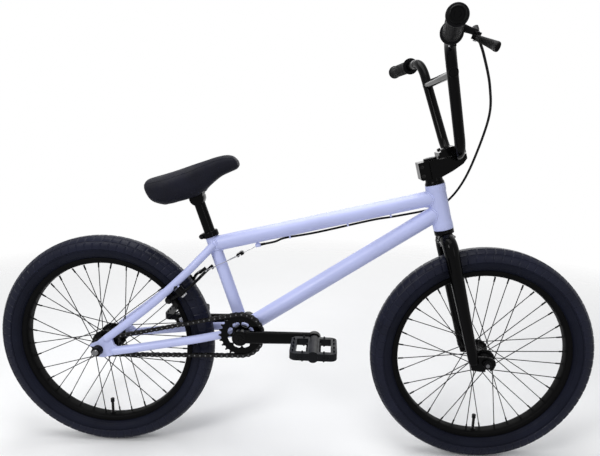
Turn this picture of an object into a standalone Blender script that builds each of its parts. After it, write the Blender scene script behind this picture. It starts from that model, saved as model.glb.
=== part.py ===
"""Freestyle BMX bicycle, standing upright with its steering straight.

Units are metres. +X is forward, +Y is the rider's left, +Z is up. The drive side is -Y.
The origin lies on the ground, midway between the two axles, in the middle plane.
Every piece is one closed solid in its own object, held by an empty on its joint's axis.
"""

from collections import namedtuple
from math import acos, atan2, cos, hypot, pi, radians, sin, tan

import bmesh
import bpy
from mathutils import Matrix, Vector

# Running clearance between pieces that touch on the real bicycle
GAP = 0.0003

# Wheels
WHEELBASE = 0.894
RIM_OUTER_RADIUS = 0.2085
RIM_HOOK_HEIGHT = 0.0055
RIM_DEPTH = 0.0139
RIM_SEAT_RADIUS = RIM_OUTER_RADIUS - RIM_HOOK_HEIGHT
RIM_INNER_RADIUS = RIM_OUTER_RADIUS - RIM_DEPTH
TYRE_RISE = 0.0515
TYRE_RADIUS = RIM_OUTER_RADIUS + TYRE_RISE
TYRE_HALF_WIDTH = 0.0265
TYRE_WALL = 0.004
RIM_HALF_WIDTH = 0.0155
RIM_WALL = 0.0022
SPOKES_PER_SIDE = 18
SPOKE_DIAMETER = 0.0026
SPOKE_OFF_FLANGE = 0.0012
SPOKE_HOLE_INSET = 0.0035
SPOKE_RIM_Y = 0.003
VALVE_DIAMETER = 0.007
VALVE_LENGTH = 0.031
HUB_FLANGE_WALL = 0.0036
HUB_END_CLEARANCE = 0.006
WHEEL_STEPS = 24

# Rear hub, driver and axle
REAR_FLANGE_RADIUS = 0.032
REAR_SHELL_RADIUS = 0.0235
REAR_FLANGE_RIGHT_Y = -0.022
REAR_FLANGE_LEFT_Y = 0.028
REAR_DROPOUT_SPACING = 0.110
REAR_AXLE_DIAMETER = 0.014
REAR_AXLE_LENGTH = 0.164

# Front hub and axle
FRONT_FLANGE_RADIUS = 0.0255
FRONT_SHELL_RADIUS = 0.0165
FRONT_FLANGE_Y = 0.030
FRONT_DROPOUT_SPACING = 0.100
FRONT_AXLE_DIAMETER = 0.010
FRONT_AXLE_LENGTH = 0.131
DROPOUT_WALL = 0.006
FORK_DROPOUT_WALL = 0.005
REAR_NUT_WIDTH = 0.021
REAR_NUT_HEIGHT = 0.016
FRONT_NUT_WIDTH = 0.017
FRONT_NUT_HEIGHT = 0.010

# Frame
TYRE_TO_BRACKET = 0.0745
CHAINSTAY_LENGTH = TYRE_RADIUS + TYRE_TO_BRACKET
BRACKET_RISE = 0.0435
BOTTOM_BRACKET_WIDTH = 0.068
BOTTOM_BRACKET_DIAMETER = 0.048
BOTTOM_BRACKET_BORE = 0.0412
SEAT_TUBE_ANGLE = 71.0
SEAT_TUBE_LENGTH = 0.245
SEAT_TUBE_DIAMETER = 0.0288
TOP_TUBE_DIAMETER = 0.035
TOP_TUBE_BELOW_SEAT_TOP = 0.0295
TOP_TUBE_BELOW_HEAD_TOP = 0.029
DOWN_TUBE_DIAMETER = 0.037
DOWN_TUBE_ABOVE_HEAD_FOOT = 0.0425
HEAD_TUBE_LENGTH = 0.104
HEAD_TUBE_DIAMETER = 0.0425
HEAD_TUBE_END_DIAMETER = 0.0446
HEAD_TUBE_END_LENGTH = 0.014
HEADSET_BORE = 0.0412
HEADSET_BEARING_HEIGHT = 0.007
CHAINSTAY_DIAMETER = 0.0195
SEATSTAY_DIAMETER = 0.0182
SEATSTAY_BELOW_SEAT_TOP = 0.030
SEATSTAY_SAG = 0.009
# Each stay's (share of the way from the dropout, distance from the middle plane)
CHAINSTAY_WIDTHS = (
    (0.0, 0.058), (0.15, 0.0555), (0.40, 0.048), (0.62, 0.0415), (0.80, 0.031), (1.0, 0.020),
)
SEATSTAY_WIDTHS = ((0.0, 0.058), (0.40, 0.052), (0.72, 0.0435), (0.88, 0.034), (1.0, 0.0115))

# Steering
HEAD_ANGLE = 75.0
FORK_OFFSET = 0.0271
TYRE_TO_CROWN = 0.0525
AXLE_TO_CROWN = TYRE_RADIUS + TYRE_TO_CROWN
CROWN_RACE_HEIGHT = 0.0045
CROWN_RACE_DIAMETER = 0.044
STEERER_DIAMETER = 0.0286
FORK_LEG_TOP_DIAMETER = 0.033
FORK_LEG_FOOT_DIAMETER = 0.022
FORK_LEG_TOP_Y = 0.046
FORK_LEG_FOOT_Y = 0.0525
HEADSET_COVER_HEIGHT = 0.0145
HEADSET_COVER_DIAMETER = 0.043

# Stem and handlebar
STEM_CLAMP_HEIGHT = 0.040
STEM_REACH = 0.052
STEM_BAR_ABOVE_FOOT = 0.039
STEM_WIDTH = 0.052
STEM_PLATE_WALL = 0.0125
BAR_DIAMETER = 0.0222
BAR_RISE = 0.229
BAR_WIDTH = 0.736
BAR_GRIP_RUN = 0.218
BAR_SHOULDER_Y = BAR_WIDTH / 2 - BAR_GRIP_RUN
BAR_FOOT_Y = 0.068
BAR_LEAN = 0.003
BAR_BEND = 0.040
BAR_WALL = 0.002
CROSSBAR_DIAMETER = 0.0175
CROSSBAR_RISE = 0.1638
BACKSWEEP = 9.3
UPSWEEP = 2.4
GRIP_LENGTH = 0.143
GRIP_DIAMETER = 0.031
GRIP_FLANGE_DIAMETER = 0.040
END_PLUG_DIAMETER = 0.026

# Brake lever, on the right grip's side
PERCH_FROM_BAR_END = 0.157
PERCH_WIDTH = 0.013
BARREL_LENGTH = 0.012
LEVER_FORWARD = 0.0365
LEVER_DROP = 0.016
LEVER_FLARE = 0.034
LEVER_HUB_HEIGHT = 0.009
LEVER_PIVOT_OUT = 0.013
LEVER_LENGTH = 0.108
LEVER_PIN_DIAMETER = 0.005
PERCH_RADIUS = 0.0165
PERCH_BOSS_DIAMETER = 0.013
# The barrel's place from the pin: towards the bar's middle, away from the grip, and down the pin
BARREL_OFFSET = (0.0175, 0.002, 0.0095)

# Rear brake, in a frame that runs from the rear axle close below the seatstays' upper ends
BRAKE_BELOW_STAY = 0.8242
BRAKE_PIVOT_UP = RIM_OUTER_RADIUS + 0.0301
BRAKE_PIVOT_Y = 0.045
BRAKE_BOSS_DIAMETER = 0.016
BRAKE_BOSS_FRONT = 0.0135
BRAKE_BOSS_ROOT = -0.004
BRAKE_BOLT_DEPTH = 0.012
BRAKE_BOLT_DIAMETER = 0.008
BRAKE_PAD_UP = RIM_OUTER_RADIUS - 0.014
BRAKE_PAD_BELOW_RIM_EDGE = 0.00625
BRAKE_PAD_LENGTH = 0.050
BRAKE_PAD_HEIGHT = 0.011
BRAKE_PAD_DEPTH = 0.011
BRAKE_PAD_CLEARANCE = 0.0022
BRAKE_HORN_UP = TYRE_RADIUS + 0.049
BRAKE_HORN_Y = 0.024
BRAKE_ARM_WALL = 0.007
BRAKE_ARM_FRONT = 0.027
PAD_FRONT = 0.022

# Brake cable
CABLE_DIAMETER = 0.005
BRAKE_WIRE_DIAMETER = 0.0016
CABLE_LEAVES = (0.47, 0.52, -0.72)
# The free loop's (share of the way to the head tube, offset in shares of that way)
CABLE_BOWS = (
    (0.1107, (0.0440, 0.0002, 0.0059)), (0.3052, (0.1025, 0.0125, 0.0218)),
    (0.5225, (0.1292, 0.0328, 0.0390)), (0.8040, (0.0623, -0.0027, 0.0063)),
)
# Points beside the head tube, in radii that clear it
CABLE_ROUND_HEAD = (
    (0.75, 0.80, -0.152), (-0.12, 1.10, -0.686), (-1.25, 1.00, -0.990), (-2.25, 0.60, -1.143),
)
# The run's (share of the way forward, distance below the resting place) under the top tube
CABLE_UNDER_TOP_TUBE = ((0.7884, 0.003), (0.70, 0.001), (0.46, 0.0025), (0.32, 0.0))
CABLE_STOP_ALONG = 0.100
CABLE_STOP_DROP = 0.0065
CABLE_STOP_LENGTH = 0.012
CABLE_STOP_DIAMETER = 0.009
YOKE_SHARE = 0.61
WIRE_STROKE = 0.0035
YOKE_HALF_WIDTH = 0.009

# Drive train
CHAIN_PITCH = 0.0127
SPROCKET_TEETH = 25
DRIVER_TEETH = 9
CHAIN_ROLLER_DIAMETER = 0.0077
CHAIN_ROLLER_WIDTH = 0.0034
CHAIN_PIN_DIAMETER = 0.0062
CHAIN_PLATE_WALL = 0.0013
CHAIN_PLATE_HEIGHT = 0.0102
CHAIN_LINE_Y = -0.0445
SPROCKET_WALL = 0.0028
SPROCKET_WINDOWS = 8
SPROCKET_WINDOW_RING = 0.027
SPROCKET_WINDOW_RADIUS = 0.0047
SPROCKET_WINDOW_HALF = 0.003
TOOTH_TIP_HALF = 0.0011
CRANK_LENGTH = 0.170
CRANK_ANGLE = 3.0
CRANK_BOSS_DIAMETER = 0.036
CRANK_ARM_HEIGHT = 0.030
CRANK_ARM_DEPTH = 0.018
CRANK_END_Y = 0.069
CRANK_BOSS_WALL = 0.021
SPINDLE_DIAMETER = 0.019
BB_BEARING_WIDTH = 0.011

# Pedals
PEDAL_AXLE_DIAMETER = 0.0145
PEDAL_INNER_Y = 0.079
PEDAL_WIDTH = 0.093
PEDAL_DEPTH = 0.100
PEDAL_HEIGHT = 0.016
PEDAL_CORNER = 0.016
PEDAL_RAIL = 0.013
PEDAL_HOUSING_DIAMETER = 0.027
PEDAL_PIN_HEIGHT = 0.0035

# Seat
SEAT_POST_DIAMETER = 0.0254
SEAT_POST_SHOWN = 0.083
SEAT_POST_INSERTED = 0.090
SEAT_POST_DROP = 0.045
SEAT_CLAMP_HEIGHT = 0.014
SEAT_CLAMP_WALL = 0.0040
SEAT_HEAD_RADIUS = 0.0165
SEAT_HEAD_WIDTH = 0.030
SADDLE_BOLT_DIAMETER = 0.0074
SADDLE_BOLT_HEAD_RADIUS = 0.0065
SADDLE_BOLT_HEAD_HEIGHT = 0.0055
SADDLE_TILT_RANGE = 15.0
SADDLE_LENGTH = 0.212
SADDLE_TAIL_WIDTH = 0.134
SADDLE_NOSE_WIDTH = 0.046
SADDLE_BEHIND_PIVOT = 0.0975
SADDLE_HEIGHT = 0.076
SADDLE_CAVITY_TOP = 0.030
SADDLE_BASE_WALL = 0.004
SADDLE_TILT = 17.0

# Derived places
REAR_HUB = Vector((-WHEELBASE / 2, 0, TYRE_RADIUS))
FRONT_HUB = Vector((WHEELBASE / 2, 0, TYRE_RADIUS))
BB = REAR_HUB + Vector(((CHAINSTAY_LENGTH ** 2 - BRACKET_RISE ** 2) ** 0.5, 0, BRACKET_RISE))
SEAT_UP = Vector((-cos(radians(SEAT_TUBE_ANGLE)), 0, sin(radians(SEAT_TUBE_ANGLE))))
SEAT_TUBE_TOP = BB + SEAT_UP * SEAT_TUBE_LENGTH
STEER_UP = Vector((-cos(radians(HEAD_ANGLE)), 0, sin(radians(HEAD_ANGLE))))
STEER_FORWARD = Vector((sin(radians(HEAD_ANGLE)), 0, cos(radians(HEAD_ANGLE))))
STEER_FOOT = FRONT_HUB - STEER_FORWARD * FORK_OFFSET
HEAD_FOOT = AXLE_TO_CROWN + CROWN_RACE_HEIGHT + GAP
HEAD_TOP = HEAD_FOOT + HEAD_TUBE_LENGTH
STEM_FOOT = HEAD_TOP + GAP + HEADSET_COVER_HEIGHT + GAP
STEM_TOP = STEM_FOOT + STEM_CLAMP_HEIGHT
BAR_HEIGHT = STEM_FOOT + STEM_BAR_ABOVE_FOOT
TOP_TUBE_REAR = SEAT_TUBE_TOP - SEAT_UP * TOP_TUBE_BELOW_SEAT_TOP
TOP_TUBE_FRONT = STEER_FOOT + STEER_UP * (HEAD_TOP - TOP_TUBE_BELOW_HEAD_TOP)
DOWN_TUBE_FRONT = STEER_FOOT + STEER_UP * (HEAD_FOOT + DOWN_TUBE_ABOVE_HEAD_FOOT)
TOP_TUBE_FORWARD = (TOP_TUBE_FRONT - TOP_TUBE_REAR).normalized()
SIDES = {"right": -1, "left": 1}
Y_AXIS = Vector((0, 1, 0))
Z_AXIS = Vector((0, 0, 1))


def clear_scene():
    """Removes the scene's objects."""
    for thing in list(bpy.data.objects):
        bpy.data.objects.remove(thing, do_unlink=True)


def material(name, colour, roughness, metallic):
    """A plain surface colour, given in sRGB from 0 to 255."""
    made = bpy.data.materials.new(name)
    made.use_nodes = True
    linear = [((value / 255 + 0.055) / 1.055) ** 2.4 for value in colour]
    shader = made.node_tree.nodes["Principled BSDF"]
    shader.inputs["Base Color"].default_value = (*linear, 1)
    shader.inputs["Roughness"].default_value = roughness
    shader.inputs["Metallic"].default_value = metallic
    return made


def shape(points, faces):
    """A closed mesh of these points and faces, with its faces turned out."""
    mesh = bpy.data.meshes.new("shape")
    mesh.from_pydata([tuple(point) for point in points], [], faces)
    work = bmesh.new()
    work.from_mesh(mesh)
    bmesh.ops.recalc_face_normals(work, faces=work.faces)
    work.to_mesh(mesh)
    work.free()
    return mesh


def solid(mesh, name="solid"):
    """An object of this mesh in the scene."""
    made = bpy.data.objects.new(name, mesh)
    bpy.context.scene.collection.objects.link(made)
    return made


def combine(body, others, operation):
    """The body after a Boolean with each of the others, which it uses up."""
    for other in others:
        step = body.modifiers.new(operation.lower(), "BOOLEAN")
        step.operation = operation
        step.solver = "EXACT"
        step.object = other
        result = body.evaluated_get(bpy.context.evaluated_depsgraph_get())
        mesh = bpy.data.meshes.new_from_object(result)
        body.modifiers.clear()
        body.data = mesh
        bpy.data.objects.remove(other, do_unlink=True)
    return body


def join(body, *others):
    return combine(body, others, "UNION")


def cut(body, *others):
    return combine(body, others, "DIFFERENCE")


def finish(body, name, look, parent, smooth=35.0):
    """Names the body, gives it its material and smooth shading, and hangs it on its parent."""
    body.name = name
    body.data.name = name
    body.data.materials.clear()
    body.data.materials.append(look)
    body.data.shade_smooth()
    body.data.set_sharp_from_angle(angle=radians(smooth))
    body.data.transform(parent.matrix_world.inverted())
    body.parent = parent
    return body


def pivot(name, place, parent=None, tilt=0.0):
    """An empty on a joint's axis, turned about Y by tilt."""
    made = bpy.data.objects.new(name, None)
    bpy.context.scene.collection.objects.link(made)
    made.empty_display_size = 0.03
    world = Matrix.Translation(place) @ Matrix.Rotation(tilt, 4, "Y")
    if parent is not None:
        made.parent = parent
        bpy.context.view_layer.update()
        world = parent.matrix_world.inverted() @ world
    made.matrix_local = world
    bpy.context.view_layer.update()
    return made


def across(direction, guide=Vector((0, 1, 0))):
    """Two unit vectors square to the direction, the first as near the guide as it can be."""
    direction = direction.normalized()
    if abs(direction.dot(guide)) > 0.98:
        guide = Vector((0, 0, 1))
    first = (guide - direction * guide.dot(direction)).normalized()
    return first, direction.cross(first)


def ring(centre, first, second, wide, high, count, power=2.0):
    """Points of an ellipse, or of a squarer oval where the power is over 2."""
    points = []
    for step in range(count):
        turn = 2 * pi * (step + 0.5) / count
        u, v = cos(turn), sin(turn)
        swell = (abs(u) ** power + abs(v) ** power) ** (-1 / power)
        points.append(centre + first * (wide * u * swell) + second * (high * v * swell))
    return points


def loft(rings, closed=False):
    """A skin over rings of equal count, with flat ends unless it closes on itself."""
    count = len(rings[0])
    points = [point for row in rings for point in row]
    faces = []
    rows = len(rings)
    for row in range(rows if closed else rows - 1):
        below, above = row * count, (row + 1) % rows * count
        for step in range(count):
            after = (step + 1) % count
            faces.append((below + step, below + after, above + after, above + step))
    if not closed:
        faces.append(tuple(reversed(range(count))))
        faces.append(tuple(range((rows - 1) * count, rows * count)))
    return shape(points, faces)


def tube(route, widths, count=16, guide=Vector((0, 1, 0)), heights=None, power=2.0):
    """A solid round or oval bar along a route, with a mitre at each of its points."""
    heights = heights or widths
    rings = []
    for step, place in enumerate(route):
        before = route[max(step - 1, 0)]
        after = route[min(step + 1, len(route) - 1)]
        enter = (place - before).normalized() if step else (after - place).normalized()
        leave = (after - place).normalized() if step < len(route) - 1 else enter
        along = (enter + leave).normalized()
        first, second = across(along, guide)
        stretch = 1 / max(along.dot(enter), 0.5)
        bend = leave - enter
        if bend.length < 1e-6:
            bend, stretch = first.copy(), 1
        bend.normalize()
        row = []
        half_wide, half_high = widths[step] / 2, heights[step] / 2
        for point in ring(Vector(), first, second, half_wide, half_high, count, power):
            row.append(place + point + bend * (point.dot(bend) * (stretch - 1)))
        rings.append(row)
    return loft(rings)


def bar(start, end, diameter, count=16, end_diameter=None):
    """A straight round bar."""
    return tube([start, end], [diameter, end_diameter or diameter], count)


def smooth_route(points, steps):
    """A smooth curve through the points, with this many steps between each two."""
    ends = [points[0] * 2 - points[1], *points, points[-1] * 2 - points[-2]]
    route = []
    for index in range(1, len(ends) - 2):
        a, b, c, d = ends[index - 1:index + 3]
        for step in range(steps):
            t = step / steps
            curve = b * 2 + (c - a) * t + (a * 2 - b * 5 + c * 4 - d) * t ** 2
            route.append((curve + (b * 3 - a - c * 3 + d) * t ** 3) / 2)
    route.append(points[-1])
    return route


def lathe(profile, count, direction=Vector((0, 1, 0)), centre=Vector(), start=0.0):
    """A turned solid. The profile is a closed outline of (distance along, radius) pairs."""
    first, second = across(direction, Vector((0, 0, -1)))
    points, rows = [], []
    for along, radius in profile:
        base = centre + direction * along
        if radius < 1e-7:
            rows.append([len(points)] * count)
            points.append(base)
            continue
        rows.append(list(range(len(points), len(points) + count)))
        for step in range(count):
            turn = 2 * pi * step / count + start
            points.append(base + (first * cos(turn) + second * sin(turn)) * radius)
    faces = []
    for index, row in enumerate(rows):
        following = rows[(index + 1) % len(rows)]
        for step in range(count):
            after = (step + 1) % count
            corners = [row[step], row[after], following[after], following[step]]
            face = [corner for spot, corner in enumerate(corners) if corner not in corners[:spot]]
            if len(face) > 2:
                faces.append(tuple(face))
    return shape(points, faces)


def hollow_profile(low, high, inner, outer):
    return [(low, inner), (low, outer), (high, outer), (high, inner)]


def disc_profile(low, high, radius):
    return [(low, 0), (low, radius), (high, radius), (high, 0)]


def plate(outline, low, high, place=Matrix()):
    """A flat plate: an outline of (x, z) pairs, from low to high along Y."""
    bottom = [place @ Vector((x, low, z)) for x, z in outline]
    top = [place @ Vector((x, high, z)) for x, z in outline]
    return loft([bottom, top])


def arc(centre, radius, start, end, steps):
    """Points of an arc in the (x, z) plane, with its angles in degrees."""
    points = []
    for step in range(steps + 1):
        turn = radians(start + (end - start) * step / steps)
        points.append((centre[0] + radius * cos(turn), centre[1] + radius * sin(turn)))
    return points


def block(low, high, place=Matrix(), bevel=0.0):
    """A box between two corners, with its edges bevelled if asked."""
    work = bmesh.new()
    bmesh.ops.create_cube(work, size=1)
    for vert in work.verts:
        vert.co = Vector([(a + b) / 2 + (b - a) * v for a, b, v in zip(low, high, vert.co)])
    if bevel > 0:
        bmesh.ops.bevel(work, geom=work.edges[:], offset=bevel, segments=2, affect="EDGES", profile=0.5)
    bmesh.ops.transform(work, matrix=place, verts=work.verts)
    mesh = bpy.data.meshes.new("block")
    work.to_mesh(mesh)
    work.free()
    return mesh


# Frame
def frame_look():
    return material("lavender_paint", (190, 188, 235), 0.45, 0.0)


def along_top_tube(forward, below):
    """A point in the middle plane, forward along the top tube and below its axis."""
    down = Vector((TOP_TUBE_FORWARD.z, 0, -TOP_TUBE_FORWARD.x))
    return TOP_TUBE_REAR + TOP_TUBE_FORWARD * forward + down * below


def stay_route(start, end, widths, side, sag=0.0, steps=1):
    """A stay's centre line. Widths are (share of the way, distance from the middle plane) pairs."""
    down = Vector((end.z - start.z, 0, start.x - end.x)).normalized()
    points = []
    for share, out in widths:
        place = start.lerp(end, share) + down * (sag * 4 * share * (1 - share))
        points.append(Vector((place.x, side * out, place.z)))
    return smooth_route(points, steps)


CHAINSTAY_FOOT = REAR_HUB + Vector((0.034, 0, -0.003))
SEATSTAY_FOOT = REAR_HUB + Vector((0.019, 0, 0.027))
SEATSTAY_HEAD = SEAT_TUBE_TOP - SEAT_UP * SEATSTAY_BELOW_SEAT_TOP


def chainstay(side):
    route = stay_route(CHAINSTAY_FOOT, BB, CHAINSTAY_WIDTHS, side)
    narrow = CHAINSTAY_DIAMETER * 0.85
    widths = [narrow + (CHAINSTAY_DIAMETER - narrow) * sin(pi * step / (len(route) - 1)) ** 0.7
              if step < 0.6 * len(route) else narrow for step in range(len(route))]
    heights = [CHAINSTAY_DIAMETER] * len(route)
    return solid(tube(route, widths, 8, Y_AXIS, heights))


def seatstay(side):
    route = stay_route(SEATSTAY_FOOT, SEATSTAY_HEAD, SEATSTAY_WIDTHS, side, SEATSTAY_SAG)
    return solid(tube(route, [SEATSTAY_DIAMETER] * len(route), 8))


def dropout(side):
    """A plate with a slot that opens to the rear, and ears that carry the two stays."""
    slot = REAR_AXLE_DIAMETER / 2 + GAP
    outline = [(-0.021, slot), (-0.018, 0.0125), (-0.004, 0.0185), (0.010, 0.031), (0.022, 0.035)]
    outline += [(0.033, 0.027), (0.037, 0.014), (0.047, 0.006), (0.045, -0.010), (0.030, -0.013)]
    outline += [(0.012, -0.0185), (-0.003, -0.0175), (-0.013, -0.0125), (-0.016, -slot)]
    outline += arc((0.0, 0.0), slot, -90, 90, 6)
    middle = side * (REAR_DROPOUT_SPACING + DROPOUT_WALL) / 2
    place = Matrix.Translation(REAR_HUB)
    return solid(plate(outline, middle - DROPOUT_WALL / 2, middle + DROPOUT_WALL / 2, place))


def head_tube():
    low, high = HEAD_FOOT, HEAD_TOP
    wide, slim = HEAD_TUBE_END_DIAMETER / 2, HEAD_TUBE_DIAMETER / 2
    ends, neck = HEAD_TUBE_END_LENGTH, HEAD_TUBE_END_LENGTH + 0.003
    profile = [(low, 0), (low, wide), (low + ends, wide), (low + neck, slim)]
    profile += [(high - neck, slim), (high - ends, wide), (high, wide), (high, 0)]
    return solid(lathe(profile, 16, STEER_UP, STEER_FOOT))


def head_tube_bore():
    seat, waist = HEADSET_BORE / 2, STEERER_DIAMETER / 2 + 0.0025
    low, high = HEAD_FOOT, HEAD_TOP
    depth = HEADSET_BEARING_HEIGHT + GAP
    profile = [(low - 0.01, 0), (low - 0.01, seat), (low + depth, seat), (low + depth, waist)]
    profile += [(high - depth, waist), (high - depth, seat), (high + 0.01, seat), (high + 0.01, 0)]
    return solid(lathe(profile, 16, STEER_UP, STEER_FOOT))


def seat_tube_bore():
    deep = SEAT_TUBE_LENGTH - SEAT_POST_INSERTED - SEAT_POST_DROP - 0.002
    radius = SEAT_POST_DIAMETER / 2 + GAP
    return solid(lathe(disc_profile(deep, SEAT_TUBE_LENGTH + 0.01, radius), 16, SEAT_UP, BB))


def shell_bore():
    half = BOTTOM_BRACKET_WIDTH / 2 + 0.01
    return solid(lathe(disc_profile(-half, half, BOTTOM_BRACKET_BORE / 2), 16, Y_AXIS, BB))


STAY_LINE = SEATSTAY_HEAD - REAR_HUB
BRAKE_TURN = atan2(STAY_LINE.z, STAY_LINE.x) - radians(BRAKE_BELOW_STAY)
BRAKE_UP = Vector((cos(BRAKE_TURN), 0, sin(BRAKE_TURN)))
BRAKE_FRONT = Vector((BRAKE_UP.z, 0, -BRAKE_UP.x))


def brake_point(front, out, up):
    """A point in the rear brake's own frame, whose origin is the rear axle."""
    return REAR_HUB + BRAKE_FRONT * front + Vector((0, out, 0)) + BRAKE_UP * up


def brake_boss(side):
    start = brake_point(BRAKE_BOSS_ROOT, side * BRAKE_PIVOT_Y, BRAKE_PIVOT_UP)
    end = brake_point(BRAKE_BOSS_FRONT, side * BRAKE_PIVOT_Y, BRAKE_PIVOT_UP)
    return solid(bar(start, end, BRAKE_BOSS_DIAMETER, 10))


def brake_boss_bore(side):
    start = brake_point(BRAKE_BOSS_FRONT - BRAKE_BOLT_DEPTH - GAP, side * BRAKE_PIVOT_Y, BRAKE_PIVOT_UP)
    end = brake_point(BRAKE_BOSS_FRONT + 0.01, side * BRAKE_PIVOT_Y, BRAKE_PIVOT_UP)
    return solid(bar(start, end, BRAKE_BOLT_DIAMETER + 2 * GAP, 10))


CABLE_STOP = along_top_tube(CABLE_STOP_ALONG, TOP_TUBE_DIAMETER / 2 + CABLE_STOP_DROP)
HORN_MIDDLE = brake_point(BRAKE_ARM_FRONT + BRAKE_ARM_WALL, 0, BRAKE_HORN_UP)
WIRE_FORWARD = (CABLE_STOP - HORN_MIDDLE).normalized()
YOKE_PLACE = HORN_MIDDLE.lerp(CABLE_STOP, YOKE_SHARE)


def cable_stop():
    """A small barrel on a short post under the top tube, bored at the rear for the brake wire."""
    half = CABLE_STOP_LENGTH / 2
    profile = disc_profile(-half, half, CABLE_STOP_DIAMETER / 2)
    barrel = solid(lathe(profile, 8, TOP_TUBE_FORWARD, CABLE_STOP))
    post_top = along_top_tube(CABLE_STOP_ALONG, TOP_TUBE_DIAMETER / 2 - 0.003)
    bore = disc_profile(-half - 0.01, WIRE_STROKE, BRAKE_WIRE_DIAMETER / 2 + 2 * GAP)
    barrel = join(barrel, solid(bar(post_top, CABLE_STOP, CABLE_STOP_DIAMETER * 0.8, 6)))
    return cut(barrel, solid(lathe(bore, 6, WIRE_FORWARD, CABLE_STOP)))


def make_frame(root):
    seat_tube = solid(bar(BB, SEAT_TUBE_TOP, SEAT_TUBE_DIAMETER, 16))
    half = BOTTOM_BRACKET_WIDTH / 2
    shell = lathe(disc_profile(-half, half, BOTTOM_BRACKET_DIAMETER / 2), 20, Y_AXIS, BB)
    pieces = [
        solid(shell),
        solid(bar(BB, DOWN_TUBE_FRONT, DOWN_TUBE_DIAMETER, 14)),
        solid(bar(TOP_TUBE_REAR, TOP_TUBE_FRONT, TOP_TUBE_DIAMETER, 14)),
        head_tube(),
        cable_stop(),
    ]
    for side in SIDES.values():
        pieces += [chainstay(side), seatstay(side), dropout(side), brake_boss(side)]
    body = join(seat_tube, *pieces)
    boss_bores = [brake_boss_bore(side) for side in SIDES.values()]
    body = cut(body, head_tube_bore(), seat_tube_bore(), shell_bore(), *boss_bores)
    finish(body, "frame", frame_look(), root)


def make_bearings(root, look):
    """Headset bearings in the ends of the head tube, and bottom bracket bearings in the shell."""
    outer = HEADSET_BORE / 2 - GAP
    inner = STEERER_DIAMETER / 2 + GAP
    rows = {"lower_head_bearing": HEAD_FOOT, "upper_head_bearing": HEAD_TOP - HEADSET_BEARING_HEIGHT}
    for name, low in rows.items():
        profile = hollow_profile(low, low + HEADSET_BEARING_HEIGHT, inner, outer)
        finish(solid(lathe(profile, 16, STEER_UP, STEER_FOOT)), name, look, root)
    outer = BOTTOM_BRACKET_BORE / 2 - GAP
    inner = SPINDLE_DIAMETER / 2 + GAP
    half = BOTTOM_BRACKET_WIDTH / 2
    for name, side in SIDES.items():
        low = side * (half - BB_BEARING_WIDTH / 2) - BB_BEARING_WIDTH / 2
        profile = hollow_profile(low, low + BB_BEARING_WIDTH, inner, outer)
        finish(solid(lathe(profile, 16, Y_AXIS, BB)), f"bb_bearing_{name}", look, root)


def make_seat_clamp(root, look):
    """A split ring over the top of the seat tube, with a bolt boss at the rear."""
    post = SEAT_POST_DIAMETER / 2 + GAP
    bore = SEAT_TUBE_DIAMETER / 2 + GAP
    outer = bore + SEAT_CLAMP_WALL
    high = SEAT_TUBE_LENGTH + 0.003
    low = high - SEAT_CLAMP_HEIGHT
    step = SEAT_TUBE_LENGTH + GAP
    profile = [(low, bore), (low, outer), (high, outer), (high, post), (step, post), (step, bore)]
    ring_body = solid(lathe(profile, 16, SEAT_UP, BB))
    boss_centre = BB + SEAT_UP * (low + SEAT_CLAMP_HEIGHT / 2)
    back = Vector((-SEAT_UP.z, 0, SEAT_UP.x))
    place = Matrix.Translation(boss_centre) @ Matrix((back, Y_AXIS, SEAT_UP)).transposed().to_4x4()
    tall = SEAT_CLAMP_HEIGHT / 2 - 0.001
    boss = solid(block((outer - 0.002, -0.009, -tall), (outer + 0.0075, 0.009, tall), place))
    slit = solid(block((post - 0.002, -0.001, -0.02), (outer + 0.02, 0.001, 0.02), place))
    finish(cut(join(ring_body, boss), slit), "seat_clamp", look, root)


# Brake cable
def cable_route():
    """The housing's own points: from the lever's barrel, round the head tube, under the top tube."""
    barrel, leave = barrel_place()
    lever_end = barrel + leave * (BARREL_LENGTH + GAP)
    head = STEER_FOOT + STEER_UP * (HEAD_FOOT + HEAD_TUBE_LENGTH * 0.60)
    clear = HEAD_TUBE_DIAMETER / 2 + CABLE_DIAMETER
    under = TOP_TUBE_DIAMETER / 2 + CABLE_DIAMETER / 2 + GAP
    length = (TOP_TUBE_FRONT - TOP_TUBE_REAR).length
    loop_end = head + Vector((clear * 1.533, -clear * 0.533, clear * 1.371))
    span = (loop_end - lever_end).length
    loop = [lever_end.lerp(loop_end, share) + Vector(bow) * span for share, bow in CABLE_BOWS]
    round_head = [head + Vector(place) * clear for place in CABLE_ROUND_HEAD]
    under_tube = [along_top_tube(length * share, under + sag) for share, sag in CABLE_UNDER_TOP_TUBE]
    at_stop = [CABLE_STOP + TOP_TUBE_FORWARD * ahead for ahead in (0.040, CABLE_STOP_LENGTH / 2 + GAP)]
    return [lever_end, *loop, loop_end, *round_head, *under_tube, *at_stop]


def make_cable(root, look):
    curve = bpy.data.curves.new("brake_cable_housing", "CURVE")
    curve.dimensions = "3D"
    curve.bevel_depth = CABLE_DIAMETER / 2
    curve.bevel_resolution = 2
    curve.use_fill_caps = True
    points = smooth_route(cable_route(), 4)
    spline = curve.splines.new("POLY")
    spline.points.add(len(points) - 1)
    for point, place in zip(spline.points, points):
        point.co = (*place, 1)
    curve.materials.append(look)
    cable = bpy.data.objects.new("brake_cable_housing", curve)
    bpy.context.scene.collection.objects.link(cable)
    cable.parent = root


# Drive train
SPROCKET_RADIUS = CHAIN_PITCH / (2 * sin(pi / SPROCKET_TEETH))
DRIVER_RADIUS = CHAIN_PITCH / (2 * sin(pi / DRIVER_TEETH))
CRANK_BOSS_Y = SPROCKET_WALL / 2 + GAP + CRANK_BOSS_WALL / 2 - CHAIN_LINE_Y


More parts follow.
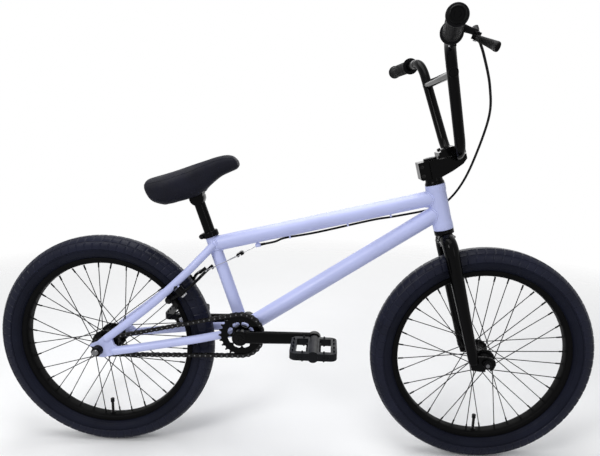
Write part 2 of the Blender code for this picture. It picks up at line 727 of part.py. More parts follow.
def chain_path():
    """The chain's rollers in order: exact pitches round each wheel, and even ones along the straights."""
    line = REAR_HUB - BB
    slope = atan2(line.z, line.x)
    spread = acos((SPROCKET_RADIUS - DRIVER_RADIUS) / line.length)
    straight = (line.length ** 2 - (SPROCKET_RADIUS - DRIVER_RADIUS) ** 2) ** 0.5
    on_driver = 2 * spread / (2 * pi) * DRIVER_TEETH
    on_sprocket = (1 - spread / pi) * SPROCKET_TEETH
    count = 2 * round((on_driver + on_sprocket + 2 * straight / CHAIN_PITCH) / 2)
    on_straight = (count - on_driver - on_sprocket) / 2
    leave, arrive = slope - spread, slope + spread
    below = BB + polar(SPROCKET_RADIUS, leave), REAR_HUB + polar(DRIVER_RADIUS, leave)
    above = REAR_HUB + polar(DRIVER_RADIUS, arrive), BB + polar(SPROCKET_RADIUS, arrive)
    places = []
    for step in range(count):
        travel = float(step)
        if travel < on_straight:
            places.append(below[0].lerp(below[1], travel / on_straight))
            continue
        travel -= on_straight
        if travel < on_driver:
            places.append(REAR_HUB + polar(DRIVER_RADIUS, leave + travel * 2 * pi / DRIVER_TEETH))
            continue
        travel -= on_driver
        if travel < on_straight:
            places.append(above[0].lerp(above[1], travel / on_straight))
            continue
        travel -= on_straight
        places.append(BB + polar(SPROCKET_RADIUS, arrive + travel * 2 * pi / SPROCKET_TEETH))
    return places


def polar(radius, turn):
    return Vector((radius * cos(turn), 0, radius * sin(turn)))


def nearest_turn(places, centre, radius):
    """The angle about the centre of the place that lies closest to the pitch circle's middle."""
    on_circle = [place - centre for place in places if abs((place - centre).length - radius) < 1e-5]
    middle = on_circle[len(on_circle) // 2]
    return atan2(middle.z, middle.x)


def band(places, low, high, half):
    """A chain plate all round the loop, from low to high across the chain."""
    rings = []
    count = len(places)
    for step, place in enumerate(places):
        before, after = place - places[step - 1], places[(step + 1) % count] - place
        if before.angle(after) < 1e-4:
            continue
        along = before + after
        out = Vector((along.z, 0, -along.x)).normalized()
        row = [place + out * half + Y_AXIS * high, place + out * half + Y_AXIS * low]
        row += [place - out * half + Y_AXIS * low, place - out * half + Y_AXIS * high]
        rings.append(row)
    return solid(loft(rings, closed=True))


def make_chain(root, look):
    """Side plates as two bands joined by a pin at every second pitch, with the teeth between them."""
    places = chain_path()
    inner = CHAIN_ROLLER_WIDTH / 2
    outer = inner + CHAIN_PLATE_WALL
    points, faces = [], []
    for place in places[::2]:
        mesh = lathe(disc_profile(0.0004 - outer, outer - 0.0004, CHAIN_PIN_DIAMETER / 2), 3, Y_AXIS, place)
        base = len(points)
        points += [vertex.co.copy() + Y_AXIS * CHAIN_LINE_Y for vertex in mesh.vertices]
        faces += [[base + corner for corner in face.vertices] for face in mesh.polygons]
    pins = solid(shape(points, faces))
    left = band(places, CHAIN_LINE_Y + inner, CHAIN_LINE_Y + outer, CHAIN_PLATE_HEIGHT / 2)
    right = band(places, CHAIN_LINE_Y - outer, CHAIN_LINE_Y - inner, CHAIN_PLATE_HEIGHT / 2)
    finish(join(pins, left, right), "chain", look, root)


def toothed_outline(teeth, phase):
    """The rim of a chain wheel: round gaps for the rollers at the phase, with blunt teeth between."""
    radius = CHAIN_PITCH / (2 * sin(pi / teeth))
    gap = CHAIN_ROLLER_DIAMETER / 2 + GAP
    tip = radius + CHAIN_ROLLER_DIAMETER * 0.28
    outline = []
    for tooth in range(teeth):
        turn = phase + 2 * pi * tooth / teeth
        centre = polar(radius, turn)
        for lean in (-72, 0, 72):
            spot = centre + polar(gap, turn + pi - radians(lean))
            outline.append((spot.x, spot.z))
        half = TOOTH_TIP_HALF / tip
        for edge in (turn + pi / teeth - half, turn + pi / teeth + half):
            spot = polar(tip, edge)
            outline.append((spot.x, spot.z))
    return outline


def make_sprocket(crank, look):
    """A toothed disc with round ended windows, bored for the spindle and bolted to the right arm."""
    phase = nearest_turn(chain_path(), BB, SPROCKET_RADIUS)
    outline = toothed_outline(SPROCKET_TEETH, phase)
    low, high = -SPROCKET_WALL / 2, SPROCKET_WALL / 2
    place = Matrix.Translation(BB + Y_AXIS * CHAIN_LINE_Y)
    body = solid(plate(outline, low, high, place))
    spindle_hole = disc_profile(-0.01, 0.01, SPINDLE_DIAMETER / 2 + GAP)
    cutters = [solid(lathe(spindle_hole, 16, Y_AXIS, place.translation))]
    long_half, radius = SPROCKET_WINDOW_HALF, SPROCKET_WINDOW_RADIUS
    for window in range(SPROCKET_WINDOWS):
        turn = 2 * pi * (window + 0.5) / SPROCKET_WINDOWS + radians(CRANK_ANGLE)
        slot = arc((long_half, 0), radius, -72, 72, 2) + arc((-long_half, 0), radius, 108, 252, 2)
        spin = Matrix.Rotation(-turn + pi / 2, 4, "Y")
        offset = Matrix.Translation((0, 0, SPROCKET_WINDOW_RING))
        cutters.append(solid(plate(slot, -0.01, 0.01, place @ spin @ offset)))
    finish(cut(body, *cutters), "sprocket", look, crank, 30)


def make_driver(driver, look):
    """The ratchet body with its nine-tooth cog, on the axle beside the hub."""
    phase = nearest_turn(chain_path(), REAR_HUB, DRIVER_RADIUS)
    wall = SPROCKET_WALL / 2
    place = Matrix.Translation(REAR_HUB + Y_AXIS * CHAIN_LINE_Y)
    cog = solid(plate(toothed_outline(DRIVER_TEETH, phase), -wall, wall, place))
    inner_end = REAR_FLANGE_RIGHT_Y - HUB_FLANGE_WALL - GAP - 0.0005
    outer_end = -REAR_DROPOUT_SPACING / 2 + 0.004
    radius = DRIVER_RADIUS - CHAIN_PLATE_HEIGHT / 2 - 0.0012
    body = solid(lathe(disc_profile(outer_end, inner_end, radius), 12, Y_AXIS, REAR_HUB))
    bore = disc_profile(outer_end - 0.01, inner_end + 0.01, REAR_AXLE_DIAMETER / 2 + GAP)
    finish(cut(join(body, cog), solid(lathe(bore, 12, Y_AXIS, REAR_HUB))), "rear_driver", look, driver, 30)


def crank_point(out, forward, up, side):
    """A point in a crank arm's own frame, at BB, with forward along the arm."""
    turn = radians(CRANK_ANGLE) + (0 if side < 0 else pi)
    ahead, above = polar(1, turn), polar(1, turn + pi / 2)
    return BB + ahead * forward + above * up + Y_AXIS * side * out


def make_spindle(crank, look):
    half = CRANK_BOSS_Y + CRANK_BOSS_WALL / 2 - 0.001
    profile = disc_profile(-half, half, SPINDLE_DIAMETER / 2)
    finish(solid(lathe(profile, 16, Y_AXIS, BB)), "crank_spindle", look, crank)


def make_crank_arm(crank, name, side, look):
    """A tubular arm with a round boss for the spindle and a round end for the pedal axle."""
    shares = (0.0, 0.5, 1.0)
    route, widths, heights = [], [], []
    for share in shares:
        out = CRANK_BOSS_Y + (CRANK_END_Y - CRANK_BOSS_Y) * share
        route.append(crank_point(out, CRANK_LENGTH * share, 0, side))
        widths.append(CRANK_ARM_DEPTH * (1 - 0.15 * share))
        heights.append(CRANK_ARM_HEIGHT * (1 - 0.10 * share))
    arm = solid(tube(route, widths, 10, Y_AXIS, heights, 2.6))
    boss_half = CRANK_BOSS_WALL / 2
    end_half = CRANK_ARM_DEPTH / 2 - 0.001
    boss_at = crank_point(CRANK_BOSS_Y, 0, 0, side)
    end_at = crank_point(CRANK_END_Y, CRANK_LENGTH, 0, side)
    boss = solid(lathe(disc_profile(-boss_half, boss_half, CRANK_BOSS_DIAMETER / 2), 16, Y_AXIS, boss_at))
    end = solid(lathe(disc_profile(-end_half, end_half, CRANK_ARM_HEIGHT / 2), 16, Y_AXIS, end_at))
    spindle_hole = disc_profile(-boss_half - 0.01, boss_half + 0.01, SPINDLE_DIAMETER / 2 + GAP)
    pedal_hole = disc_profile(-end_half - 0.01, end_half + 0.01, PEDAL_AXLE_DIAMETER / 2 + GAP)
    cutters = [
        solid(lathe(spindle_hole, 16, Y_AXIS, boss_at)),
        solid(lathe(pedal_hole, 12, Y_AXIS, end_at)),
    ]
    finish(cut(join(arm, boss, end), *cutters), f"crank_arm_{name}", look, crank)


def make_pedal(crank, name, side, axle_look, body_look):
    """The axle screwed in the arm, and a moulded platform that turns on it."""
    centre = crank_point(0, CRANK_LENGTH, 0, side)
    root_y = CRANK_END_Y - CRANK_ARM_DEPTH / 2 + 0.001
    outer_y = PEDAL_INNER_Y + PEDAL_WIDTH
    slim = PEDAL_AXLE_DIAMETER * 0.72
    flats = PEDAL_INNER_Y - 0.0035
    profile = [(root_y, 0), (root_y, PEDAL_AXLE_DIAMETER / 2), (flats, PEDAL_AXLE_DIAMETER / 2)]
    profile += [(flats, slim / 2), (outer_y - 0.004, slim / 2), (outer_y - 0.004, 0)]
    mirrored = [(side * along, radius) for along, radius in profile]
    axle = solid(lathe(mirrored, 12, Y_AXIS, centre))
    finish(axle, f"pedal_axle_{name}", axle_look, crank)
    turning = pivot(f"pedal_{name}_axis", centre, crank)
    middle = side * (PEDAL_INNER_Y + PEDAL_WIDTH / 2)
    place = Matrix.Translation(centre + Y_AXIS * middle)
    long, wide, tall = PEDAL_DEPTH / 2, PEDAL_WIDTH / 2, PEDAL_HEIGHT / 2
    corner = PEDAL_CORNER
    outline = [(-long + corner, -wide), (long - corner, -wide)]
    outline += [(long, -wide + corner), (long, wide - corner)]
    outline += [(-x, -y) for x, y in outline]
    flat = Matrix.Rotation(pi / 2, 4, "X")
    body = solid(plate(outline, -tall, tall, place @ flat))
    housing = disc_profile(-wide, wide, PEDAL_HOUSING_DIAMETER / 2)
    body = join(body, solid(lathe(housing, 12, Y_AXIS, place.translation)))
    hub = PEDAL_HOUSING_DIAMETER / 2 + 0.001
    low_hole = (-long + PEDAL_RAIL, -wide + PEDAL_RAIL, -0.03)
    high_hole = (-hub, wide - PEDAL_RAIL, 0.03)
    bore_low, bore_high = sorted((side * (-wide - 0.01), side * (wide - 0.003)))
    cutters = [
        solid(block(low_hole, high_hole, place)),
        solid(block((hub, low_hole[1], -0.03), (-low_hole[0], high_hole[1], 0.03), place)),
        solid(lathe(disc_profile(bore_low, bore_high, slim / 2 + GAP), 12, Y_AXIS, place.translation)),
    ]
    body = cut(body, *cutters)
    for ahead in (-1, 1):
        for out in (-1, 1):
            spot = Vector((ahead * (long - PEDAL_RAIL / 2), out * (wide - corner), 0))
            reach = Vector((0, 0, tall + PEDAL_PIN_HEIGHT))
            body = join(body, solid(bar(place @ (spot - reach), place @ (spot + reach), 0.0045, 4)))
    finish(body, f"pedal_body_{name}", body_look, turning)


# Wheels
def make_tyre(body, name, hub, look):
    """A hollow casing, open towards the rim, with a rounded crown."""
    top, wide = TYRE_RADIUS, TYRE_HALF_WIDTH
    lip = RIM_HALF_WIDTH - RIM_WALL - GAP
    seat = RIM_SEAT_RADIUS + GAP
    rise = top - RIM_OUTER_RADIUS
    shoulder = RIM_OUTER_RADIUS + 0.0008
    outer = [(lip, seat), (lip, shoulder), (wide, shoulder + rise * 0.44)]
    outer += [(wide * 0.72, top - rise * 0.14), (wide * 0.26, top)]
    inner = [(wide * 0.45, top - TYRE_WALL), (wide - TYRE_WALL, shoulder + rise * 0.40)]
    inner += [(lip - 0.0025, seat)]
    section = outer + [(-along, radius) for along, radius in reversed(outer)]
    section += [(-along, radius) for along, radius in reversed(inner)] + inner
    finish(solid(lathe(section, WHEEL_STEPS, Y_AXIS, hub)), f"{name}_tyre", look, body)


def make_rim(body, name, hub, look):
    half, wall = RIM_HALF_WIDTH, RIM_WALL
    bed = RIM_SEAT_RADIUS - 0.0015
    shoulder = RIM_INNER_RADIUS + 0.0045
    edge = [(half * 0.5, RIM_INNER_RADIUS), (half, shoulder), (half, RIM_OUTER_RADIUS)]
    edge += [(half - wall, RIM_OUTER_RADIUS), (half - wall, bed)]
    section = edge + [(-along, radius) for along, radius in reversed(edge)]
    rim = solid(lathe(section, WHEEL_STEPS, Y_AXIS, hub))
    start = hub - Z_AXIS * (RIM_INNER_RADIUS - 0.01)
    end = hub - Z_AXIS * (RIM_SEAT_RADIUS + 0.01)
    finish(cut(rim, solid(bar(start, end, VALVE_DIAMETER + 2 * GAP, 10))), f"{name}_rim", look, body)


def make_inner_tube(body, name, hub, look):
    """The air filled ring inside the tyre, with its valve stem through the rim."""
    low = RIM_SEAT_RADIUS + 0.004
    high = TYRE_RADIUS - TYRE_WALL - 0.004
    middle, half = (low + high) / 2, (high - low) / 2
    wide = TYRE_HALF_WIDTH - TYRE_WALL - 0.003
    section = []
    for step in range(6):
        turn = 2 * pi * step / 6
        section.append((wide * 0.9 * cos(turn), middle + half * 0.9 * sin(turn)))
    ring_body = solid(lathe(section, WHEEL_STEPS // 2, Y_AXIS, hub))
    start = hub - Z_AXIS * (RIM_INNER_RADIUS - VALVE_LENGTH)
    end = hub - Z_AXIS * (low + 0.008)
    stem = solid(bar(start, end, VALVE_DIAMETER, 10))
    finish(join(ring_body, stem), f"{name}_inner_tube", look, body)


def make_spokes(body, name, hub, side_name, flange_y, flange_radius, look):
    """Eighteen spokes, three cross, nine pulling each way and touching where they cross."""
    side = SIDES[side_name]
    out = flange_y + side * ((HUB_FLANGE_WALL + SPOKE_DIAMETER) / 2 + SPOKE_OFF_FLANGE)
    hole = flange_radius - SPOKE_HOLE_INSET
    reach = RIM_INNER_RADIUS * cos(pi / WHEEL_STEPS) - GAP - 0.0004
    turn_step = 2 * pi / SPOKES_PER_SIDE
    sweep = 3 * turn_step
    offset = 0 if side < 0 else turn_step / 2
    sets = []
    for way in (1, -1):
        points, faces = [], []
        for spoke in range(SPOKES_PER_SIDE // 2):
            turn = turn_step * (2 * spoke + (0 if way > 0 else 1)) + offset + turn_step / 4
            start = hub + polar(hole, turn) + Y_AXIS * out
            end = hub + polar(reach, turn + way * sweep) + Y_AXIS * side * (SPOKE_RIM_Y - way * 0.0002)
            mesh = bar(start, end, SPOKE_DIAMETER, 3)
            base = len(points)
            points += [vertex.co.copy() for vertex in mesh.vertices]
            faces += [[base + corner for corner in face.vertices] for face in mesh.polygons]
        sets.append(solid(shape(points, faces)))
    finish(join(*sets), f"{name}_spokes_{side_name}", look, body)


def make_rear_hub(body, look):
    wall = HUB_FLANGE_WALL / 2
    bore = REAR_AXLE_DIAMETER / 2 + GAP
    right, left = REAR_FLANGE_RIGHT_Y, REAR_FLANGE_LEFT_Y
    end = REAR_DROPOUT_SPACING / 2 - HUB_END_CLEARANCE
    section = [(right - wall, bore), (right - wall, REAR_FLANGE_RADIUS), (right + wall, REAR_FLANGE_RADIUS)]
    section += [(right + wall + 0.003, REAR_SHELL_RADIUS), (left - wall - 0.003, REAR_SHELL_RADIUS)]
    section += [(left - wall, REAR_FLANGE_RADIUS), (left + wall, REAR_FLANGE_RADIUS)]
    section += [(left + wall, REAR_SHELL_RADIUS * 0.85), (end, REAR_SHELL_RADIUS * 0.62), (end, bore)]
    finish(solid(lathe(section, 12, Y_AXIS, REAR_HUB)), "rear_hub_shell", look, body)


def make_front_hub(body, look):
    wall = HUB_FLANGE_WALL / 2
    bore = FRONT_AXLE_DIAMETER / 2 + GAP
    end = FRONT_DROPOUT_SPACING / 2 - HUB_END_CLEARANCE
    half = [(FRONT_FLANGE_Y - wall - 0.004, FRONT_SHELL_RADIUS)]
    half += [(FRONT_FLANGE_Y - wall, FRONT_FLANGE_RADIUS), (FRONT_FLANGE_Y + wall, FRONT_FLANGE_RADIUS)]
    half += [(FRONT_FLANGE_Y + wall, FRONT_SHELL_RADIUS), (end, FRONT_SHELL_RADIUS * 0.75), (end, bore)]
    section = [(-along, radius) for along, radius in reversed(half)] + half
    finish(solid(lathe(section, 12, Y_AXIS, FRONT_HUB)), "front_hub_shell", look, body)


def make_axle(body, name, hub, length, diameter, collars, look):
    """A threaded axle whose collars stand between the hub and the dropouts."""
    radius = diameter / 2
    collar = radius + 0.004
    profile = [(-length / 2, 0), (-length / 2, radius)]
    for low, high in collars:
        profile += [(low, radius), (low, collar), (high, collar), (high, radius)]
    profile += [(length / 2, radius), (length / 2, 0)]
    finish(solid(lathe(profile, 8, Y_AXIS, hub)), f"{name}_axle", look, body)


def make_axle_nuts(body, name, hub, outer_face, nut_sizes, look):
    """A hexagon nut on each side, against the dropout's outer face."""
    diameter, width, height = nut_sizes
    for side_name, side in SIDES.items():
        low = outer_face + GAP
        corner = width / 2 / cos(pi / 6)
        nut = [(side * along, radius) for along, radius in disc_profile(low, low + height, corner)]
        hole = disc_profile(-1, 1, diameter / 2 + GAP)
        nut_body = cut(solid(lathe(nut, 6, Y_AXIS, hub)), solid(lathe(hole, 8, Y_AXIS, hub)))
        finish(nut_body, f"{name}_axle_nut_{side_name}", look, body, 25)


# Steering
def steer_point(forward, out, up):
    """A point in the steering's own frame: up runs along the steering axis from the fork's foot."""
    return STEER_FOOT + STEER_FORWARD * forward + Y_AXIS * out + STEER_UP * up


def steer_matrix():
    turned = Matrix((STEER_FORWARD, Y_AXIS, STEER_UP)).transposed().to_4x4()
    return Matrix.Translation(STEER_FOOT) @ turned


def rounded_route(points, radius, steps=4):
    """A route with its corners drawn round, each by a short curve that starts radius away."""
    route = [points[0]]
    for before, corner, after in zip(points, points[1:], points[2:]):
        enter = corner + (before - corner).normalized() * radius
        leave = corner + (after - corner).normalized() * radius
        for step in range(steps + 1):
            t = step / steps
            route.append(enter * (1 - t) ** 2 + corner * (2 * t * (1 - t)) + leave * t ** 2)
    return route + [points[-1]]


def make_fork(body, look):
    """A steerer, a crown race seat, two tapered legs that meet at the crown, and two dropouts."""
    steerer_foot = AXLE_TO_CROWN - 0.034
    steerer_ends = [steer_point(0, 0, steerer_foot), steer_point(0, 0, STEM_TOP - 0.002)]
    steerer = bar(*steerer_ends, STEERER_DIAMETER, 16)
    race = disc_profile(AXLE_TO_CROWN - 0.006, AXLE_TO_CROWN + CROWN_RACE_HEIGHT, CROWN_RACE_DIAMETER / 2)
    crown = AXLE_TO_CROWN - FORK_LEG_TOP_DIAMETER / 2 - 0.0015
    foot, top = FORK_LEG_FOOT_DIAMETER, FORK_LEG_TOP_DIAMETER
    stations = [
        (FORK_LEG_FOOT_Y, -0.006, foot),
        (FORK_LEG_FOOT_Y * 0.7 + FORK_LEG_TOP_Y * 0.3, 0.080, foot + (top - foot) * 0.30),
        (FORK_LEG_TOP_Y, 0.235, foot + (top - foot) * 0.86),
        (FORK_LEG_TOP_Y - 0.001, crown - 0.026, top),
        (FORK_LEG_TOP_Y - 0.008, crown - 0.008, top),
        (FORK_LEG_TOP_Y - 0.024, crown, top),
    ]
    left = [steer_point(0, out, up) for out, up, wide in stations]
    right = [steer_point(0, -out, up) for out, up, wide in reversed(stations)]
    widths = [wide for out, up, wide in stations]
    pieces = [
        solid(lathe(race, 16, STEER_UP, STEER_FOOT)),
        solid(tube(left + right, widths + widths[::-1], 10, STEER_FORWARD)),
    ]
    slot = FRONT_AXLE_DIAMETER / 2 + GAP
    outline = [(-0.010, 0.016), (0.008, 0.022), (0.026, 0.0185), (0.040, 0.0125), (0.0475, 0.004)]
    outline += [(0.0475, -0.006), (0.042, -0.014), (FORK_OFFSET + slot, -0.019)]
    outline += arc((FORK_OFFSET, 0), slot, 0, 180, 6)
    outline += [(FORK_OFFSET - slot, -0.018), (0.010, -0.015), (-0.008, -0.008)]
    for side in SIDES.values():
        low = side * (FRONT_DROPOUT_SPACING + FORK_DROPOUT_WALL) / 2 - FORK_DROPOUT_WALL / 2
        pieces.append(solid(plate(outline, low, low + FORK_DROPOUT_WALL, steer_matrix())))
    inner = FRONT_DROPOUT_SPACING / 2
    fork = join(solid(steerer), *pieces)
    gap_box = block((-0.02, -inner, -0.03), (0.02, inner, 0.016), steer_matrix())
    bolt_bore = disc_profile(STEM_TOP - 0.022, STEM_TOP + 0.01, 0.0058)
    fork = cut(fork, solid(gap_box), solid(lathe(bolt_bore, 8, STEER_UP, STEER_FOOT)))
    finish(fork, "fork", look, body)


def make_headset_cover(body, look):
    low, high = HEAD_TOP + GAP, HEAD_TOP + GAP + HEADSET_COVER_HEIGHT
    inner, wide = STEERER_DIAMETER / 2 + GAP, HEADSET_COVER_DIAMETER / 2
    profile = [(low, inner), (low, wide), (low + 0.004, wide), (low + 0.0085, wide - 0.0025)]
    profile += [(high, wide - 0.0025), (high, inner)]
    finish(solid(lathe(profile, 16, STEER_UP, STEER_FOOT)), "upper_bearing_cover", look, body)


def make_stem(body, look):
    """A body that clamps the steerer and holds the bar in a trough, with a plate bolted on top."""
    half = STEM_WIDTH / 2
    reach, bar_up = STEM_REACH, BAR_HEIGHT
    split = 0.0008
    front = reach + BAR_DIAMETER / 2 + 0.0103
    foot = STEM_FOOT
    outline = [(-0.0305, foot + 0.003), (-0.027, foot), (0.014, foot), (0.038, foot + 0.007)]
    outline += [(front - 0.010, bar_up - 0.0215), (front, bar_up - 0.012), (front, bar_up - split)]
    outline += [(0.0155, bar_up - split), (0.0155, STEM_TOP), (-0.0305, STEM_TOP)]
    trunk = solid(plate(outline, -half, half, steer_matrix()))
    bore = disc_profile(foot - 0.01, STEM_TOP + 0.01, STEERER_DIAMETER / 2 + GAP)
    trough = disc_profile(-half - 0.01, half + 0.01, BAR_DIAMETER / 2 + GAP)
    at_bar = steer_point(reach, 0, bar_up)
    below, above = foot - 0.01, STEM_TOP + 0.01
    slit = block((-0.04, -0.001, below), (-0.012, 0.001, above), steer_matrix())
    waist = []
    for side in SIDES.values():
        low, high = sorted((side * 0.0205, side * 0.04))
        waist.append(solid(block((-0.05, low, below), (-0.006, high, above), steer_matrix())))
    cutters = [solid(lathe(bore, 16, STEER_UP, STEER_FOOT)), solid(lathe(trough, 16, Y_AXIS, at_bar))]
    finish(cut(trunk, *cutters, solid(slit), *waist), "stem_body", look, body, 25)
    high = bar_up + BAR_DIAMETER / 2 + STEM_PLATE_WALL * 0.75
    outline = [(0.0165, bar_up + split), (front, bar_up + split), (front, bar_up + 0.009)]
    outline += [(front - 0.008, high - 0.004), (reach, high), (reach - 0.014, high)]
    outline += [(0.0165, bar_up + 0.013)]
    top = solid(plate(outline, -half, half, steer_matrix()))
    top = cut(top, solid(lathe(trough, 16, Y_AXIS, at_bar)))
    finish(top, "stem_top_plate", look, body, 25)


def make_top_cap(body, look):
    low = STEM_TOP + GAP
    shank, wide = 0.005, 0.0148
    profile = [(low - 0.012, 0), (low - 0.012, shank), (low, shank), (low, wide)]
    profile += [(low + 0.0035, wide), (low + 0.0045, wide - 0.0018), (low + 0.0045, 0)]
    finish(solid(lathe(profile, 16, STEER_UP, STEER_FOOT)), "steerer_top_cap", look, body)


BAR_SHOULDER_RISE = BAR_RISE - tan(radians(UPSWEEP)) * BAR_GRIP_RUN


def bar_end(side):
    """The centre of the handlebar's end on one side."""
    sweep = tan(radians(BACKSWEEP)) * BAR_GRIP_RUN
    return steer_point(STEM_REACH - BAR_LEAN - sweep, side * BAR_WIDTH / 2, BAR_HEIGHT + BAR_RISE)


def bar_shoulder(side):
    """Where the upright's line meets the grip's line on one side."""
    return steer_point(STEM_REACH - BAR_LEAN, side * BAR_SHOULDER_Y, BAR_HEIGHT + BAR_SHOULDER_RISE)


def grip_inward(side):
    """The unit vector that runs from the bar's end along the grip towards the bend."""
    return (bar_shoulder(side) - bar_end(side)).normalized()


def make_handlebar(body, look):
    """One bent tube with a crossbar between its uprights, open at both ends."""
    feet = [steer_point(STEM_REACH, side * BAR_FOOT_Y, BAR_HEIGHT) for side in (1, -1)]
    corners = [bar_end(1), bar_shoulder(1), *feet, bar_shoulder(-1), bar_end(-1)]
    route = rounded_route(corners, BAR_BEND, 3)
    body_bar = solid(tube(route, [BAR_DIAMETER] * len(route), 10, STEER_FORWARD))
    share = CROSSBAR_RISE / BAR_SHOULDER_RISE
    cross_half = BAR_FOOT_Y + (BAR_SHOULDER_Y - BAR_FOOT_Y) * share + BAR_WALL
    cross_at = STEM_REACH - BAR_LEAN * share
    cross_ends = [steer_point(cross_at, side * cross_half, BAR_HEIGHT + CROSSBAR_RISE) for side in (1, -1)]
    body_bar = join(body_bar, solid(bar(*cross_ends, CROSSBAR_DIAMETER, 10)))
    for side in (1, -1):
        end, inward = bar_end(side), grip_inward(side)
        bore = disc_profile(-0.01, 0.024, BAR_DIAMETER / 2 - BAR_WALL)
        body_bar = cut(body_bar, solid(lathe(bore, 10, inward, end)))
    finish(body_bar, "handlebar", look, body)


def make_grip(body, name, side, grip_look, plug_look):
    """A sleeve with a small flange, and the plug in the bar's open end."""
    end, inward = bar_end(side), grip_inward(side)
    inner, outer = BAR_DIAMETER / 2 + 2 * GAP, GRIP_DIAMETER / 2
    flange = GRIP_FLANGE_DIAMETER / 2
    profile = [(0, inner), (0, outer), (GRIP_LENGTH - 0.005, outer)]
    profile += [(GRIP_LENGTH - 0.004, flange), (GRIP_LENGTH, flange), (GRIP_LENGTH, inner)]
    finish(solid(lathe(profile, 12, inward, end)), f"grip_{name}", grip_look, body)
    stub = BAR_DIAMETER / 2 - BAR_WALL - GAP
    plug = [(-0.0045, 0), (-0.0045, END_PLUG_DIAMETER / 2)]
    plug += [(-GAP, END_PLUG_DIAMETER / 2), (-GAP, stub), (0.018, stub), (0.018, 0)]
    finish(solid(lathe(plug, 10, inward, end)), f"bar_end_plug_{name}", plug_look, body)


# Brake lever
LeverFrame = namedtuple("LeverFrame", "clamp inward pin blade reach axis")


def lever_frame():
    """The clamp and pin, and unit vectors along the bar and the blade, to the grip, and along the pin."""
    end, inward = bar_end(-1), grip_inward(-1)
    clamp = end + inward * (PERCH_FROM_BAR_END / cos(radians(BACKSWEEP)))
    pin = clamp + STEER_FORWARD * LEVER_FORWARD - STEER_UP * LEVER_DROP - Y_AXIS * LEVER_PIVOT_OUT
    tip = pin + Vector((0, -1, 0)) * LEVER_LENGTH - STEER_UP * LEVER_FLARE
    blade = (tip - pin).normalized()
    middle = (tip + pin) / 2
    grip_middle = end + inward * (end - middle).length
    reach = grip_middle - middle
    reach = (reach - blade * reach.dot(blade)).normalized()
    return LeverFrame(clamp, inward, pin, blade, reach, blade.cross(reach))


def make_lever_perch(body, look):
    """A clamp round the bar whose arm carries the lever's pin and the cable's barrel."""
    lever = lever_frame()
    clamp, inward, pin, axis = lever.clamp, lever.inward, lever.pin, lever.axis
    half = PERCH_WIDTH / 2
    perch = solid(lathe(disc_profile(-half, half, PERCH_RADIUS), 12, inward, clamp))
    hub_top = LEVER_HUB_HEIGHT / 2 + GAP
    boss_low, boss_high = pin - axis * hub_top, pin - axis * (hub_top + 0.005)
    boss = solid(bar(boss_low, boss_high, PERCH_BOSS_DIAMETER, 10))
    boss_middle = (boss_low + boss_high) / 2
    arm_root = clamp - axis * (clamp - boss_middle).dot(axis)
    arm_neck = boss_middle + (arm_root - boss_middle).normalized() * 0.012
    arm_route = [arm_root, arm_neck, boss_middle]
    arm = solid(tube(arm_route, [0.013, 0.010, 0.010], 8, lever.blade, [0.012, 0.0045, 0.0045]))
    shaft = solid(bar(pin + axis * (hub_top + 0.002), boss_middle, LEVER_PIN_DIAMETER, 8))
    barrel, leave = barrel_place()
    neck = solid(tube([boss_middle, barrel - leave * 0.007], [0.0046, 0.007], 6))
    seat = solid(bar(barrel - leave * 0.008, barrel, 0.011, 8))
    bar_hole = disc_profile(-0.02, 0.02, BAR_DIAMETER / 2 + 2 * GAP)
    perch = cut(join(perch, arm, boss, neck, seat, shaft), solid(lathe(bar_hole, 12, inward, clamp)))
    finish(perch, "lever_perch", look, body)


def barrel_place():
    """Where the barrel adjuster screws in the perch, and the way that its cable leaves it."""
    lever = lever_frame()
    inboard, ahead, below = BARREL_OFFSET
    place = lever.pin - lever.blade * inboard - lever.reach * ahead - lever.axis * below
    return place, Vector(CABLE_LEAVES).normalized()


def make_barrel(body, look):
    place, leave = barrel_place()
    wide, slim, step = 0.0045, 0.0036, BARREL_LENGTH / 2
    profile = [(GAP, 0), (GAP, wide), (step, wide), (step + 0.0015, slim)]
    profile += [(BARREL_LENGTH, slim), (BARREL_LENGTH, 0)]
    finish(solid(lathe(profile, 10, leave, place)), "barrel_adjuster", look, body)


def make_brake_lever(body, look):
    """A two finger blade with a round tip, bored for its pin."""
    frame = lever_frame()
    pin, axis = frame.pin, frame.axis
    length = hypot(LEVER_LENGTH, LEVER_FLARE)
    shares = (0.06, 0.25, 0.50, 0.75, 0.92, 1.0)
    bows = (0.0, 0.001, -0.001, -0.001, 0.001, 0.003)
    route = [pin + frame.blade * (length * share) - frame.reach * bow for share, bow in zip(shares, bows)]
    tall = [0.010, 0.011, 0.013, 0.015, 0.016, 0.013]
    deep = [0.009, 0.008, 0.0075, 0.0075, 0.009, 0.007]
    lever = solid(tube(route, tall, 10, axis, deep, 2.4))
    hub = LEVER_HUB_HEIGHT / 2
    lever = join(lever, solid(bar(pin - axis * hub, pin + axis * hub, 0.015, 10)))
    bore = solid(bar(pin - axis * 0.02, pin + axis * 0.02, LEVER_PIN_DIAMETER + 2 * GAP, 8))
    finish(cut(lever, bore), "brake_lever", look, body)


# Rear brake
def make_brake_bolt(root, name, side, look):
    """The bolt that the arm turns on, in the stay's boss."""
    foot, shank = BRAKE_BOSS_FRONT - BRAKE_BOLT_DEPTH, BRAKE_BOLT_DIAMETER / 2
    head = brake_hub_front() + GAP
    wide = 0.0075
    profile = [(foot, 0), (foot, shank), (head, shank), (head, wide)]
    profile += [(head + 0.003, wide), (head + 0.004, wide - 0.0015), (head + 0.004, 0)]
    at = brake_point(0, side * BRAKE_PIVOT_Y, BRAKE_PIVOT_UP)
    finish(solid(lathe(profile, 10, BRAKE_FRONT, at)), f"brake_pivot_bolt_{name}", look, root)


def brake_hub_front():
    return BRAKE_ARM_FRONT + BRAKE_ARM_WALL


